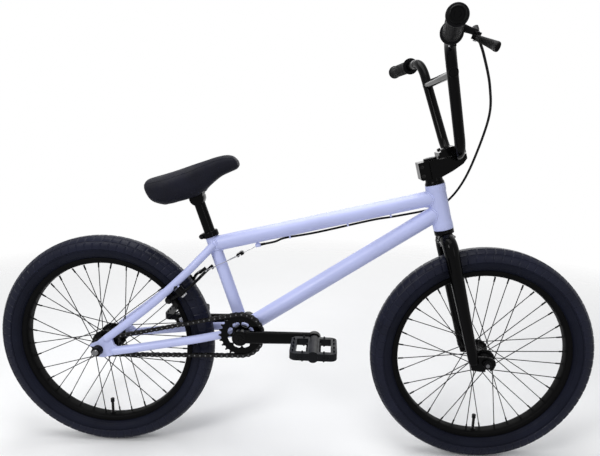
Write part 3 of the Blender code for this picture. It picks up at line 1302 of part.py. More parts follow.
def arm_level(side):
    """The two arms cross one in front of the other, so each has its own level."""
    middle = BRAKE_ARM_FRONT + BRAKE_ARM_WALL / 2
    return middle if side < 0 else middle - BRAKE_ARM_WALL - 0.0015


def pad_frame(side):
    """The pad's centre, the outward direction from the hub there, and the rim's tangent."""
    front = PAD_FRONT
    radius = RIM_OUTER_RADIUS - BRAKE_PAD_BELOW_RIM_EDGE
    up = (radius ** 2 - front ** 2) ** 0.5
    out = side * (RIM_HALF_WIDTH + BRAKE_PAD_CLEARANCE + BRAKE_PAD_DEPTH / 2)
    centre = brake_point(front, out, up)
    outward = (centre - REAR_HUB - Y_AXIS * out).normalized()
    return centre, outward, Y_AXIS.cross(outward)


def make_brake_arm(body, name, side, look):
    """A forged arm from its pad eye, round its pivot, and over the tyre to its cable horn."""
    level = arm_level(side)
    pad_centre = pad_frame(side)[0]
    eye_y = side * (RIM_HALF_WIDTH + BRAKE_PAD_CLEARANCE + BRAKE_PAD_DEPTH + 0.009)
    eye = Vector((pad_centre.x, eye_y, pad_centre.z))
    pivot_front = brake_hub_front() - 0.006
    lower = (BRAKE_PIVOT_UP + BRAKE_PAD_UP) / 2
    route = [
        eye,
        brake_point((PAD_FRONT + pivot_front) / 2, side * (BRAKE_PIVOT_Y - 0.004), lower),
        brake_point(pivot_front, side * BRAKE_PIVOT_Y, BRAKE_PIVOT_UP),
        brake_point(level, side * (BRAKE_PIVOT_Y - 0.002), BRAKE_PIVOT_UP + 0.022),
        brake_point(level, side * 0.024, BRAKE_HORN_UP - 0.029),
        brake_point(level, 0, BRAKE_HORN_UP - 0.020),
        brake_point(level, -side * 0.016, BRAKE_HORN_UP - 0.012),
        brake_point(level, -side * BRAKE_HORN_Y, BRAKE_HORN_UP),
    ]
    wide = [0.012, 0.013, 0.016, 0.014, 0.012, 0.011, 0.0105, 0.009]
    thick = [BRAKE_ARM_WALL] * len(wide)
    arm = solid(tube(route, thick, 6, BRAKE_FRONT, wide))
    hub = disc_profile(BRAKE_BOSS_FRONT + GAP, brake_hub_front(), 0.0105)
    at = brake_point(0, side * BRAKE_PIVOT_Y, BRAKE_PIVOT_UP)
    eye_half = 0.0055
    ring_body = disc_profile(-eye_half, eye_half, 0.0085)
    arm = join(arm, solid(lathe(hub, 12, BRAKE_FRONT, at)), solid(lathe(ring_body, 10, Y_AXIS, eye)))
    bolt_hole = disc_profile(0, 0.06, BRAKE_BOLT_DIAMETER / 2 + GAP)
    stud_hole = disc_profile(-0.02, 0.02, 0.003 + GAP)
    cutters = [solid(lathe(bolt_hole, 10, BRAKE_FRONT, at)), solid(lathe(stud_hole, 8, Y_AXIS, eye))]
    finish(cut(arm, *cutters), f"brake_arm_{name}", look, body)


def make_brake_pad(body, name, side, look):
    """A block beside the rim with the stud that the arm's eye holds."""
    centre, outward, tangent = pad_frame(side)
    place = Matrix.Translation(centre) @ Matrix((tangent, Y_AXIS, outward)).transposed().to_4x4()
    long, deep, tall = BRAKE_PAD_LENGTH / 2, BRAKE_PAD_DEPTH / 2, BRAKE_PAD_HEIGHT / 2
    pad = solid(block((-long, -deep, -tall), (long, deep, tall), place))
    stud_end = side * (BRAKE_PAD_DEPTH / 2 + 0.0185)
    stud = solid(bar(centre, centre + Y_AXIS * stud_end, 0.006, 8))
    finish(join(pad, stud), f"brake_pad_{name}", look, body)


def wire_matrix():
    """The straddle yoke's frame: X along the brake wire, Y across, Z up from it."""
    up = WIRE_FORWARD.cross(Y_AXIS)
    up = up if up.z > 0 else -up
    turned = Matrix((WIRE_FORWARD, up.cross(WIRE_FORWARD), up)).transposed().to_4x4()
    return Matrix.Translation(YOKE_PLACE) @ turned


def make_yoke(body, look):
    """A hanger that hooks over the straddle wire, with the bare brake wire up to the cable stop."""
    place = wire_matrix()
    wire = BRAKE_WIRE_DIAMETER / 2
    clear = wire + GAP
    half = YOKE_HALF_WIDTH - 0.002
    top = solid(block((-0.005, -half, clear), (0.012, half, clear + 0.004), place))
    lip = solid(block((-0.0045, -half + 0.001, -0.003), (-clear, half - 0.001, clear + 0.002), place))
    nose = solid(block((0.004, -0.004, -0.003), (0.0115, 0.004, clear + 0.002), place))
    inner_end = (CABLE_STOP - YOKE_PLACE).length - GAP
    wire_ends = [place @ Vector((along, 0, 0)) for along in (0.010, inner_end)]
    wire_bar = solid(bar(*wire_ends, BRAKE_WIRE_DIAMETER, 6))
    finish(join(top, lip, nose, wire_bar), "straddle_yoke", look, body)


def make_straddle_wire(body, look):
    """One wire from horn to horn, past both sides of the seat tube and through the yoke."""
    place = wire_matrix()
    ahead = BRAKE_WIRE_DIAMETER / 2 + GAP + BRAKE_ARM_WALL / 2
    horns = []
    for side in (-1, 1):
        horns.append(brake_point(arm_level(side) + ahead, -side * BRAKE_HORN_Y, BRAKE_HORN_UP))
    turn = YOKE_HALF_WIDTH - 0.003
    loop = [place @ Vector((0, y, 0)) for y in (YOKE_HALF_WIDTH, turn, -turn, -YOKE_HALF_WIDTH)]
    route = [horns[0], *loop, horns[1]]
    wire = solid(tube(route, [BRAKE_WIRE_DIAMETER] * len(route), 5))
    head = disc_profile(-0.0005, 0.003, 0.003)
    heads = [solid(lathe(head, 6, BRAKE_FRONT, horn)) for horn in horns]
    finish(join(wire, *heads), "straddle_wire", look, body)


# Seat
SEAT_TILT_PIVOT = SEAT_TUBE_TOP + SEAT_UP * SEAT_POST_SHOWN


def make_seat_post(body, post_look, bolt_look):
    """A straight post with a round head, and the upright bolt that holds the saddle on it."""
    half = SEAT_HEAD_WIDTH / 2
    foot = SEAT_TUBE_TOP - SEAT_UP * SEAT_POST_INSERTED
    post = solid(bar(foot, SEAT_TILT_PIVOT, SEAT_POST_DIAMETER, 16))
    head = solid(lathe(disc_profile(-half, half, SEAT_HEAD_RADIUS), 20, Y_AXIS, SEAT_TILT_PIVOT))
    up = saddle_matrix().to_3x3() @ Vector((0, 0, 1))
    hole = solid(lathe(disc_profile(-0.008, 0.03, SADDLE_BOLT_DIAMETER / 2 + GAP), 10, up, SEAT_TILT_PIVOT))
    finish(cut(join(post, head), hole), "seat_post", post_look, body)
    wide, shank = SADDLE_BOLT_HEAD_RADIUS, SADDLE_BOLT_DIAMETER / 2
    low, high = saddle_bolt_head()
    bolt = [(-0.006, 0), (-0.006, shank), (low, shank), (low, wide), (high, wide), (high, 0)]
    finish(solid(lathe(bolt, 10, up, SEAT_TILT_PIVOT)), "saddle_pivot_bolt", bolt_look, body)


def saddle_bolt_head():
    """The head's foot and top along the bolt: the foot clears the base at the tilt's limits."""
    turn = radians(SADDLE_TILT_RANGE)
    low = (SADDLE_CAVITY_TOP + SADDLE_BOLT_HEAD_RADIUS * sin(turn)) / cos(turn) + GAP
    return low, low + SADDLE_BOLT_HEAD_HEIGHT


def saddle_matrix():
    """The saddle's frame: its origin on the tilt axis, X towards the nose, Z up from the base."""
    return Matrix.Translation(SEAT_TILT_PIVOT) @ Matrix.Rotation(-radians(SADDLE_TILT), 4, "Y")


def saddle_stations():
    """Rows along the saddle: place, half width, top and underside, tail to nose."""
    tail, nose = SADDLE_TAIL_WIDTH / 2, SADDLE_NOSE_WIDTH / 2
    back, front = -SADDLE_BEHIND_PIVOT, SADDLE_LENGTH - SADDLE_BEHIND_PIVOT
    top = SADDLE_HEIGHT
    return [
        (back, tail * 0.62, top * 0.84, top * 0.45),
        (back + 0.003, tail * 0.74, top * 0.90, top * 0.34),
        (back + 0.010, tail * 0.88, top * 0.94, top * 0.20),
        (back + 0.030, tail * 0.99, top * 0.945, top * 0.06),
        (back + 0.050, tail, top * 0.945, top * 0.015),
        (back + 0.068, tail * 0.93, top * 0.95, 0.0),
        (-0.006, tail * 0.78, top * 0.965, 0.0),
        (0.012, tail * 0.60, top * 0.98, top * 0.03),
        (0.030, nose * 1.25, top * 0.99, top * 0.20),
        (0.050, nose * 1.06, top, top * 0.33),
        (front - 0.045, nose, top * 1.01, top * 0.43),
        (front - 0.022, nose * 0.99, top * 0.985, top * 0.48),
        (front - 0.008, nose * 0.88, top * 0.90, top * 0.51),
        (front - 0.001, nose * 0.62, top * 0.76, top * 0.58),
    ]


def make_saddle(body, cover_look, base_look):
    """A crowned cushion whose sides draw in towards the rim, over a moulded base."""
    place = saddle_matrix()
    count = 18
    rings = []
    for along, half, top, low in saddle_stations():
        middle, tall = (top + low) / 2, (top - low) / 2
        row = []
        for point in ring(Vector((along, 0, middle)), Y_AXIS, Vector((0, 0, 1)), half, tall, count, 2.7):
            share = (point.z - low) / (top - low)
            draw = 1 - 0.10 * (1 - share) ** 2 - 0.05 * max(share - 0.7, 0) / 0.3
            row.append(place @ Vector((point.x, point.y * draw, point.z)))
        rings.append(row)
    cover = solid(loft(rings))
    tail, nose = SADDLE_TAIL_WIDTH / 2, SADDLE_NOSE_WIDTH / 2
    back, front = -SADDLE_BEHIND_PIVOT + 0.018, SEAT_HEAD_RADIUS + 0.006

    def base_outline(inset):
        half = [(back + inset, tail * 0.34), (back + 0.022, tail * 0.58), (back + 0.045, tail * 0.60)]
        half += [(0.0, tail * 0.46), (front - inset, nose * 0.74)]
        outline = [(along, inset - out) for along, out in half]
        return outline + [(along, -out) for along, out in reversed(outline)]

    cavity = solid(plate(base_outline(0.0), -SADDLE_CAVITY_TOP, 0.05, place @ flat_to_floor()))
    head_top = saddle_bolt_head()[1]
    pocket_long = sin(radians(SADDLE_TILT_RANGE)) * head_top + SADDLE_BOLT_HEAD_RADIUS + 0.002
    pocket_wide = SADDLE_BOLT_HEAD_RADIUS + 0.0025
    pocket_high = head_top + 0.0025
    pocket = solid(block((-pocket_long, -pocket_wide, 0.0), (pocket_long, pocket_wide, pocket_high), place))
    head_room = lathe(disc_profile(-0.02, 0.02, SEAT_HEAD_RADIUS + 0.002), 20, Y_AXIS, SEAT_TILT_PIVOT)
    finish(cut(cover, cavity, pocket, solid(head_room)), "saddle_cover", cover_look, body)
    low, high = SADDLE_CAVITY_TOP - SADDLE_BASE_WALL, SADDLE_CAVITY_TOP - GAP
    base = solid(plate(base_outline(0.001), -high, -low, place @ flat_to_floor()))
    half = SEAT_HEAD_WIDTH / 2 - 0.001
    cradle = solid(block((-0.017, -half, 0.006), (0.017, half, low + 0.002), place))
    head = solid(lathe(disc_profile(-0.04, 0.04, SEAT_HEAD_RADIUS + GAP), 20, Y_AXIS, SEAT_TILT_PIVOT))
    long = SADDLE_BOLT_DIAMETER / 2 + sin(radians(SADDLE_TILT_RANGE)) * SADDLE_CAVITY_TOP + 0.002
    wide = SADDLE_BOLT_DIAMETER / 2 + 0.0006
    slot = solid(block((-long, -wide, 0), (long, wide, SADDLE_CAVITY_TOP + 0.01), place))
    finish(cut(join(base, cradle), head, slot), "saddle_base", base_look, body)


def flat_to_floor():
    """Turns a plate's (x, z) outline to (x, y), with its thickness downwards."""
    return Matrix(((1, 0, 0, 0), (0, 0, 1, 0), (0, -1, 0, 0), (0, 0, 0, 1)))


# Assembly
def make_bicycle():
    clear_scene()
    black = material("gloss_black_paint", (22, 22, 26), 0.30, 0.0)
    satin = material("satin_black_parts", (34, 34, 38), 0.45, 0.2)
    rubber = material("tyre_rubber", (38, 40, 48), 0.85, 0.0)
    inner_rubber = material("inner_tube_rubber", (28, 28, 30), 0.70, 0.0)
    grip_rubber = material("grip_rubber", (26, 26, 28), 0.75, 0.0)
    spoke_steel = material("black_spokes", (30, 30, 33), 0.35, 0.6)
    steel = material("bright_steel", (178, 178, 182), 0.28, 1.0)
    chain_steel = material("chain_steel", (52, 52, 56), 0.40, 0.8)
    plastic = material("moulded_black_plastic", (30, 31, 34), 0.60, 0.0)
    cable_skin = material("cable_housing_plastic", (18, 18, 20), 0.35, 0.0)
    pad_rubber = material("brake_pad_rubber", (40, 38, 38), 0.80, 0.0)
    fabric = material("saddle_fabric", (24, 24, 27), 0.90, 0.0)

    root = pivot("frame_origin", Vector())
    steering = pivot("steering_axis", STEER_FOOT, None, radians(HEAD_ANGLE - 90))
    front_wheel = pivot("front_wheel_axis", FRONT_HUB, steering)
    rear_wheel = pivot("rear_wheel_axis", REAR_HUB, root)
    driver = pivot("driver_axis", REAR_HUB, root)
    crank = pivot("crank_axis", BB, root)
    seat = pivot("seat_post_axis", SEAT_TUBE_TOP, root)
    saddle = pivot("saddle_tilt_axis", SEAT_TILT_PIVOT, seat)
    lever = pivot("brake_lever_axis", lever_frame().pin, steering)
    yoke = pivot("yoke_axis", YOKE_PLACE, root)

    make_frame(root)
    make_bearings(root, steel)
    make_seat_clamp(root, black)
    make_cable(root, cable_skin)
    make_chain(root, chain_steel)

    rear = REAR_DROPOUT_SPACING / 2 - GAP
    collars = [(-rear, -rear + 0.0034), (rear - 0.0054, rear)]
    make_axle(root, "rear", REAR_HUB, REAR_AXLE_LENGTH, REAR_AXLE_DIAMETER, collars, satin)
    nut = (REAR_AXLE_DIAMETER, REAR_NUT_WIDTH, REAR_NUT_HEIGHT)
    make_axle_nuts(root, "rear", REAR_HUB, REAR_DROPOUT_SPACING / 2 + DROPOUT_WALL, nut, satin)
    front = FRONT_DROPOUT_SPACING / 2 - GAP
    collars = [(-front, -front + 0.0054), (front - 0.0054, front)]
    make_axle(steering, "front", FRONT_HUB, FRONT_AXLE_LENGTH, FRONT_AXLE_DIAMETER, collars, satin)
    nut = (FRONT_AXLE_DIAMETER, FRONT_NUT_WIDTH, FRONT_NUT_HEIGHT)
    make_axle_nuts(steering, "front", FRONT_HUB, FRONT_DROPOUT_SPACING / 2 + FORK_DROPOUT_WALL, nut, satin)

    for name, body, hub in (("rear", rear_wheel, REAR_HUB), ("front", front_wheel, FRONT_HUB)):
        make_tyre(body, name, hub, rubber)
        make_rim(body, name, hub, satin)
        make_inner_tube(body, name, hub, inner_rubber)
    make_rear_hub(rear_wheel, satin)
    make_front_hub(front_wheel, satin)
    for side in SIDES:
        flange = REAR_FLANGE_RIGHT_Y if side == "right" else REAR_FLANGE_LEFT_Y
        make_spokes(rear_wheel, "rear", REAR_HUB, side, flange, REAR_FLANGE_RADIUS, spoke_steel)
        flange = SIDES[side] * FRONT_FLANGE_Y
        make_spokes(front_wheel, "front", FRONT_HUB, side, flange, FRONT_FLANGE_RADIUS, spoke_steel)

    make_fork(steering, black)
    make_headset_cover(steering, black)
    make_stem(steering, satin)
    make_top_cap(steering, satin)
    make_handlebar(steering, black)
    for name, side in SIDES.items():
        make_grip(steering, name, side, grip_rubber, plastic)
    make_lever_perch(steering, satin)
    make_barrel(steering, satin)
    make_brake_lever(lever, satin)

    make_driver(driver, chain_steel)
    make_spindle(crank, steel)
    make_sprocket(crank, satin)
    for name, side in SIDES.items():
        make_crank_arm(crank, name, side, black)
        make_pedal(crank, name, side, steel, plastic)

    for name, side in SIDES.items():
        arm = pivot(f"brake_arm_{name}_axis", brake_point(0, side * BRAKE_PIVOT_Y, BRAKE_PIVOT_UP), root)
        make_brake_bolt(root, name, side, steel)
        make_brake_arm(arm, name, side, satin)
        make_brake_pad(arm, name, side, pad_rubber)
    make_yoke(yoke, steel)
    make_straddle_wire(yoke, steel)

    make_seat_post(seat, black, steel)
    make_saddle(saddle, fabric, plastic)


make_bicycle()
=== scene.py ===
"""Looks of the freestyle BMX bicycle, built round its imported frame.

Units are metres, in the frame's axes: +X forward, +Y the rider's left, +Z up, drive side -Y.
What passes through mm() is written in millimetres.
"""

from math import acos, atan2, cos, pi, radians, sin, tan

import bmesh
import bpy
import numpy as np
from mathutils import Matrix, Vector


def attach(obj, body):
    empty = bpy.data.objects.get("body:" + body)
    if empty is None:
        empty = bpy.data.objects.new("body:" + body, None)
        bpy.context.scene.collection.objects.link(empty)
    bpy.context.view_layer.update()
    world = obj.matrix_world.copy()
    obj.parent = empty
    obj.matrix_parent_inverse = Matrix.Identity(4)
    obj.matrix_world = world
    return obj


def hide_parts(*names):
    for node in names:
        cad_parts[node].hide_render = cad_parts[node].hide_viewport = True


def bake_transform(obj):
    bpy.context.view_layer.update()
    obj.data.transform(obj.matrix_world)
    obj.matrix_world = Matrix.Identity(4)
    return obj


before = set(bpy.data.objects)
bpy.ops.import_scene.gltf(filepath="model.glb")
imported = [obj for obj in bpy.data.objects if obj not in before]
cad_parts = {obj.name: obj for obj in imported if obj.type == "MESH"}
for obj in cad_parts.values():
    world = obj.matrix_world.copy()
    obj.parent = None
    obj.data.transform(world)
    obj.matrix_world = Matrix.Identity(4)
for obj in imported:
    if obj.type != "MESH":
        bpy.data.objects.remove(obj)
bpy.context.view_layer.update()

GAP = 0.0003
WHEELBASE = 0.894
TYRE_RADIUS = 0.26
TYRE_HALF_WIDTH = 0.0265
RIM_SEAT_RADIUS = 0.203
RIM_OUTER_RADIUS = 0.2085
RIM_INNER_RADIUS = 0.1946
RIM_HALF_WIDTH = 0.0155
RIM_WALL = 0.0022
SPOKES_PER_SIDE = 18
SPOKE_DIAMETER = 0.0021
FLANGE_WALL = 0.0036
VALVE_LENGTH = 0.031
REAR_DROPOUT_SPACING = 0.11
FRONT_DROPOUT_SPACING = 0.1
DROPOUT_WALL = 0.006
FORK_DROPOUT_WALL = 0.005
CHAINSTAY_LENGTH = 0.3345
BOTTOM_BRACKET_HEIGHT = 0.3035
BOTTOM_BRACKET_WIDTH = 0.068
SEAT_TUBE_ANGLE = 71.0
SEAT_TUBE_LENGTH = 0.245
SEAT_TUBE_DIAMETER = 0.0288
TOP_TUBE_DIAMETER = 0.035
TOP_TUBE_ON_SEAT_TUBE = 0.2155
TOP_TUBE_BELOW_HEAD_TOP = 0.029
DOWN_TUBE_DIAMETER = 0.037
DOWN_TUBE_ABOVE_HEAD_FOOT = 0.0425
HEAD_TUBE_LENGTH = 0.104
HEAD_TUBE_DIAMETER = 0.0425
HEAD_TUBE_END_DIAMETER = 0.0446
CHAINSTAY_DIAMETER = 0.0195
SEATSTAY_DIAMETER = 0.0182
SEATSTAY_SAG = 0.009
HEAD_ANGLE = 75.0
FORK_OFFSET = 0.0271
AXLE_TO_CROWN = 0.3125
CROWN_RACE_HEIGHT = 0.0045
STEERER_DIAMETER = 0.0286
FORK_LEG_TOP_DIAMETER = 0.033
FORK_LEG_FOOT_Y = 0.0525
HEADSET_COVER_HEIGHT = 0.0145
STEM_CLAMP_HEIGHT = 0.04
STEM_REACH = 0.052
STEM_BAR_ABOVE_FOOT = 0.039
STEM_WIDTH = 0.052
BAR_DIAMETER = 0.0222
BAR_RISE = 0.229
BAR_WIDTH = 0.736
BAR_SHOULDER_Y = 0.15
BAR_FOOT_Y = 0.068
BAR_LEAN = 0.003
CROSSBAR_DIAMETER = 0.0175
CROSSBAR_RISE = 0.1638
CROSSBAR_HALF = 0.1315
BACKSWEEP = 9.3
UPSWEEP = 2.4
GRIP_LENGTH = 0.143
GRIP_DIAMETER = 0.031
PERCH_Y = 0.211
LEVER_FORWARD = 0.0365
LEVER_DROP = 0.016
LEVER_FLARE = 0.034
LEVER_PIVOT_OUT = 0.013
LEVER_LENGTH = 0.108
BARREL_LENGTH = 0.012
BRAKE_ANGLE = 42.5
BRAKE_PIVOT_UP = 0.2386
BRAKE_PIVOT_Y = 0.045
BRAKE_PAD_UP = 0.1945
BRAKE_HORN_UP = 0.309
BRAKE_HORN_Y = 0.024
BRAKE_ARM_WALL = 0.007
BRAKE_ARM_FRONT = 0.027
BRAKE_BOSS_FRONT = 0.0135
PAD_FRONT = 0.022
CABLE_DIAMETER = 0.005
WIRE_DIAMETER = 0.0016
CABLE_STOP_ALONG = 0.1
CABLE_STOP_DROP = 0.0065
YOKE_SHARE = 0.61
CHAIN_PITCH = 0.0127
SPROCKET_TEETH = 25
DRIVER_TEETH = 9
CHAIN_ROLLER_DIAMETER = 0.0077
CHAIN_LINE_Y = -0.0445
SPROCKET_WALL = 0.0028
CRANK_LENGTH = 0.17
CRANK_ANGLE = 3.0
CRANK_ARM_HEIGHT = 0.03
CRANK_ARM_DEPTH = 0.018
CRANK_END_Y = 0.069
CRANK_BOSS_WALL = 0.021
CRANK_BOSS_Y = SPROCKET_WALL / 2 + GAP + CRANK_BOSS_WALL / 2 - CHAIN_LINE_Y
PEDAL_INNER_Y = 0.079
PEDAL_WIDTH = 0.093
PEDAL_DEPTH = 0.1
PEDAL_HEIGHT = 0.016
SEAT_POST_DIAMETER = 0.0254
SEAT_POST_SHOWN = 0.083
SEAT_HEAD_RADIUS = 0.0165
SADDLE_LENGTH = 0.212
SADDLE_TAIL_WIDTH = 0.134
SADDLE_NOSE_WIDTH = 0.046
SADDLE_BEHIND_PIVOT = 0.0975
SADDLE_HEIGHT = 0.076
SADDLE_TILT = 17.0

X_AXIS, Y_AXIS, Z_AXIS = Vector((1, 0, 0)), Vector((0, 1, 0)), Vector((0, 0, 1))
SIDES = {"right": -1, "left": 1}


# Numbers and places
def mm(base, *pairs, over=0.0):
    """Pairs of (distance along, radius) in millimetres, as metres from the base and over a radius."""
    return [(base + along / 1000, over + radius / 1000) for along, radius in pairs]


def mirrored(profile, middle=0.0):
    """The profile, followed back by its own mirror image about the middle."""
    return profile + [(2 * middle - along, radius) for along, radius in reversed(profile)]


def between(side, inner, outer):
    """The lower and the higher end of a stretch that lies on this side of the middle."""
    return sorted((side * inner, side * outer))


def polar(radius, turn):
    """A point of the (x, z) plane by its radius and angle."""
    return Vector((radius * cos(turn), 0, radius * sin(turn)))


def placed(origin, x_axis, z_axis):
    return Matrix.Translation(origin) @ Matrix((x_axis, Y_AXIS, z_axis)).transposed().to_4x4()


REAR_HUB = Vector((-WHEELBASE / 2, 0, TYRE_RADIUS))
FRONT_HUB = Vector((WHEELBASE / 2, 0, TYRE_RADIUS))
BB_RISE = BOTTOM_BRACKET_HEIGHT - TYRE_RADIUS
BB = REAR_HUB + Vector(((CHAINSTAY_LENGTH ** 2 - BB_RISE ** 2) ** 0.5, 0, BB_RISE))
SEAT_UP = polar(1, radians(180 - SEAT_TUBE_ANGLE))
SEAT_TUBE_TOP = BB + SEAT_UP * SEAT_TUBE_LENGTH
SEAT_TILT_PIVOT = SEAT_TUBE_TOP + SEAT_UP * SEAT_POST_SHOWN
STEER_UP = polar(1, radians(180 - HEAD_ANGLE))
STEER_FORWARD = polar(1, radians(90 - HEAD_ANGLE))
STEER_FOOT = FRONT_HUB - STEER_FORWARD * FORK_OFFSET
HEAD_FOOT = AXLE_TO_CROWN + CROWN_RACE_HEIGHT + GAP
HEAD_TOP = HEAD_FOOT + HEAD_TUBE_LENGTH
STEM_FOOT = HEAD_TOP + GAP + HEADSET_COVER_HEIGHT + GAP
STEM_TOP = STEM_FOOT + STEM_CLAMP_HEIGHT
BAR_HEIGHT = STEM_FOOT + STEM_BAR_ABOVE_FOOT
TOP_TUBE_REAR = BB + SEAT_UP * TOP_TUBE_ON_SEAT_TUBE
TOP_TUBE_FRONT = STEER_FOOT + STEER_UP * (HEAD_TOP - TOP_TUBE_BELOW_HEAD_TOP)
TOP_TUBE_RUN = (TOP_TUBE_FRONT - TOP_TUBE_REAR).length
TOP_TUBE_FORWARD = (TOP_TUBE_FRONT - TOP_TUBE_REAR).normalized()
TOP_TUBE_DOWN = Vector((TOP_TUBE_FORWARD.z, 0, -TOP_TUBE_FORWARD.x))
DOWN_TUBE_FRONT = STEER_FOOT + STEER_UP * (HEAD_FOOT + DOWN_TUBE_ABOVE_HEAD_FOOT)
BRAKE_UP = polar(1, radians(BRAKE_ANGLE))
BRAKE_FRONT = polar(1, radians(BRAKE_ANGLE - 90))
SPROCKET_RADIUS = CHAIN_PITCH / (2 * sin(pi / SPROCKET_TEETH))
DRIVER_RADIUS = CHAIN_PITCH / (2 * sin(pi / DRIVER_TEETH))


# Forms: pairs of points and faces
def merge(*forms):
    points, faces = [], []
    for more_points, more_faces in forms:
        base = len(points)
        points += more_points
        faces += [tuple(base + corner for corner in face) for face in more_faces]
    return points, faces


def across(direction, guide=Y_AXIS):
    """Two unit vectors square to the direction, the first as near the guide as it can be."""
    direction = direction.normalized()
    if abs(direction.dot(guide)) > 0.98:
        guide = Z_AXIS if abs(direction.z) < 0.9 else X_AXIS
    first = (guide - direction * guide.dot(direction)).normalized()
    return first, direction.cross(first)


def ring(centre, first, second, wide, high, count, power=2.0):
    """Points of an ellipse, or of a squarer oval where the power is over 2."""
    points = []
    for step in range(count):
        turn = 2 * pi * (step + 0.5) / count
        u, v = cos(turn), sin(turn)
        swell = (abs(u) ** power + abs(v) ** power) ** (-1 / power)
        points.append(centre + first * (wide * u * swell) + second * (high * v * swell))
    return points


def loft(rings, closed=False):
    """A skin over rings of equal count, with flat ends unless it closes on itself."""
    count, rows = len(rings[0]), len(rings)
    points = [point for row in rings for point in row]
    faces = []
    for row in range(rows if closed else rows - 1):
        below, above = row * count, (row + 1) % rows * count
        for step in range(count):
            after = (step + 1) % count
            faces.append((below + step, below + after, above + after, above + step))
    if not closed:
        faces += [tuple(reversed(range(count))), tuple(range((rows - 1) * count, rows * count))]
    return points, faces


def sweep(route, widths, count=24, guide=Y_AXIS, heights=None, power=2.0, closed=False):
    """A round or oval bar along a route, of one width and height or of one for each place."""
    last = len(route) - 1
    if isinstance(widths, float):
        widths = [widths] * len(route)
    if isinstance(heights, float):
        heights = [heights] * len(route)
    heights = heights or widths
    rings = []
    for step, place in enumerate(route):
        before = route[step - 1] if step or closed else place
        after = route[(step + 1) % len(route)] if step < last or closed else place
        first, second = across((after - before).normalized(), guide)
        rings.append(ring(place, first, second, widths[step] / 2, heights[step] / 2, count, power))
    return loft(rings, closed)


def bar(start, end, diameter, count=32, end_diameter=None):
    return sweep([start, end], [diameter, end_diameter or diameter], count)


def smooth_route(points, steps):
    """A smooth curve through the points, with this many steps between each two."""
    ends = [points[0] * 2 - points[1], *points, points[-1] * 2 - points[-2]]
    route = []
    for a, b, c, d in zip(ends, ends[1:], ends[2:], ends[3:]):
        for step in range(steps):
            t = step / steps
            curve = b * 2 + (c - a) * t + (a * 2 - b * 5 + c * 4 - d) * t ** 2
            route.append((curve + (b * 3 - a - c * 3 + d) * t ** 3) / 2)
    return route + [points[-1]]


def smooth_numbers(numbers, steps):
    return [point.x for point in smooth_route([X_AXIS * value for value in numbers], steps)]


def rounded_route(points, radius, steps=10):
    """A route with its corners drawn round, each by a short curve that starts radius away."""
    route = [points[0]]
    for before, corner, after in zip(points, points[1:], points[2:]):
        enter = corner + (before - corner).normalized() * radius
        leave = corner + (after - corner).normalized() * radius
        for step in range(steps + 1):
            t = step / steps
            route.append(enter * (1 - t) ** 2 + corner * (2 * t * (1 - t)) + leave * t ** 2)
    return route + [points[-1]]


def lathe(profile, count=48, direction=Y_AXIS, centre=Vector()):
    """A turned form. The profile is a closed outline of (distance along, radius) pairs."""
    first, second = across(direction, -Z_AXIS)
    points, rows, faces = [], [], []
    for along, radius in profile:
        base, start = centre + direction * along, len(points)
        if radius < 1e-7:
            rows.append([start] * count)
            points.append(base)
            continue
        rows.append(range(start, start + count))
        for step in range(count):
            turn = 2 * pi * step / count
            points.append(base + (first * cos(turn) + second * sin(turn)) * radius)
    for row, following in zip(rows, rows[1:] + rows[:1]):
        for step in range(count):
            after = (step + 1) % count
            face = dict.fromkeys((row[step], row[after], following[after], following[step]))
            if len(face) > 2:
                faces.append(tuple(face))
    return points, faces


def disc(low, high, radius, edge=0.0):
    """A turned disc's outline, with its two corners cut by the edge."""
    foot = [(low, 0), (low, radius - edge)]
    if edge:
        foot += [(low + 0.3 * edge, radius - 0.3 * edge), (low + edge, radius)]
    return mirrored(foot, (low + high) / 2)


def sleeve(low, high, inner, outer, edge=0.0006):
    return mirrored([(low, inner), (low, outer - edge), (low + edge, outer)], (low + high) / 2)


def plate(outline, low, high, place=Matrix()):
    """A flat plate: an outline of (x, z) pairs, from low to high along Y."""
    return loft([[place @ Vector((x, y, z)) for x, z in outline] for y in (low, high)])


def box(low, high, place=Matrix()):
    (left, near, foot), (right, far, top) = low, high
    return plate([(left, foot), (right, foot), (right, top), (left, top)], near, far, place)


def arc(centre, radius, start, end, steps):
    """Points of an arc in the (x, z) plane, with its angles in degrees."""
    turns = [radians(start + (end - start) * step / steps) for step in range(steps + 1)]
    return [(centre[0] + radius * cos(turn), centre[1] + radius * sin(turn)) for turn in turns]


def thread(start, direction, length, diameter, pitch=0.001, count=20):
    """A threaded stub: turned ridges a pitch apart, with a cut end."""
    radius = diameter / 2
    profile = [(0, 0)]
    for step in range(int(length / pitch)):
        profile += [(step * pitch, radius - pitch * 0.45), ((step + 0.5) * pitch, radius)]
    return lathe(profile + [(length, radius - pitch * 0.6), (length, 0)], count, direction, start)


def hexagon(centre, direction, flat, count, offset, lean, limit=1.0):
    """Points round a hexagon, by the distance of its flats, with its corners cut at the limit."""
    first, second = across(direction, -Z_AXIS)
    points = []
    for step in range(count):
        turn = 2 * pi * (step + offset) / count
        reach = min(flat / cos((turn + lean) % (pi / 3) - pi / 6), limit)
        points.append(centre + first * (reach * cos(turn)) + second * (reach * sin(turn)))
    return points


def socket_head(start, direction, diameter, height, key=0.5, count=28):
    """A round bolt head with a hexagon socket in its face, out along the direction."""
    radius, edge = diameter / 2, diameter * 0.07
    axes = across(direction, -Z_AXIS)
    rings = []
    for along, cut in ((0, 0), (height - edge, 0), (height - edge * 0.3, edge * 0.3), (height, edge)):
        rings.append(ring(start + direction * along, *axes, radius - cut, radius - cut, count))
    for along in (height, height * 0.55):
        flat = radius * key * cos(pi / 6)
        rings.append(hexagon(start + direction * along, direction, flat, count, 0.5, 0))
    return loft(rings)


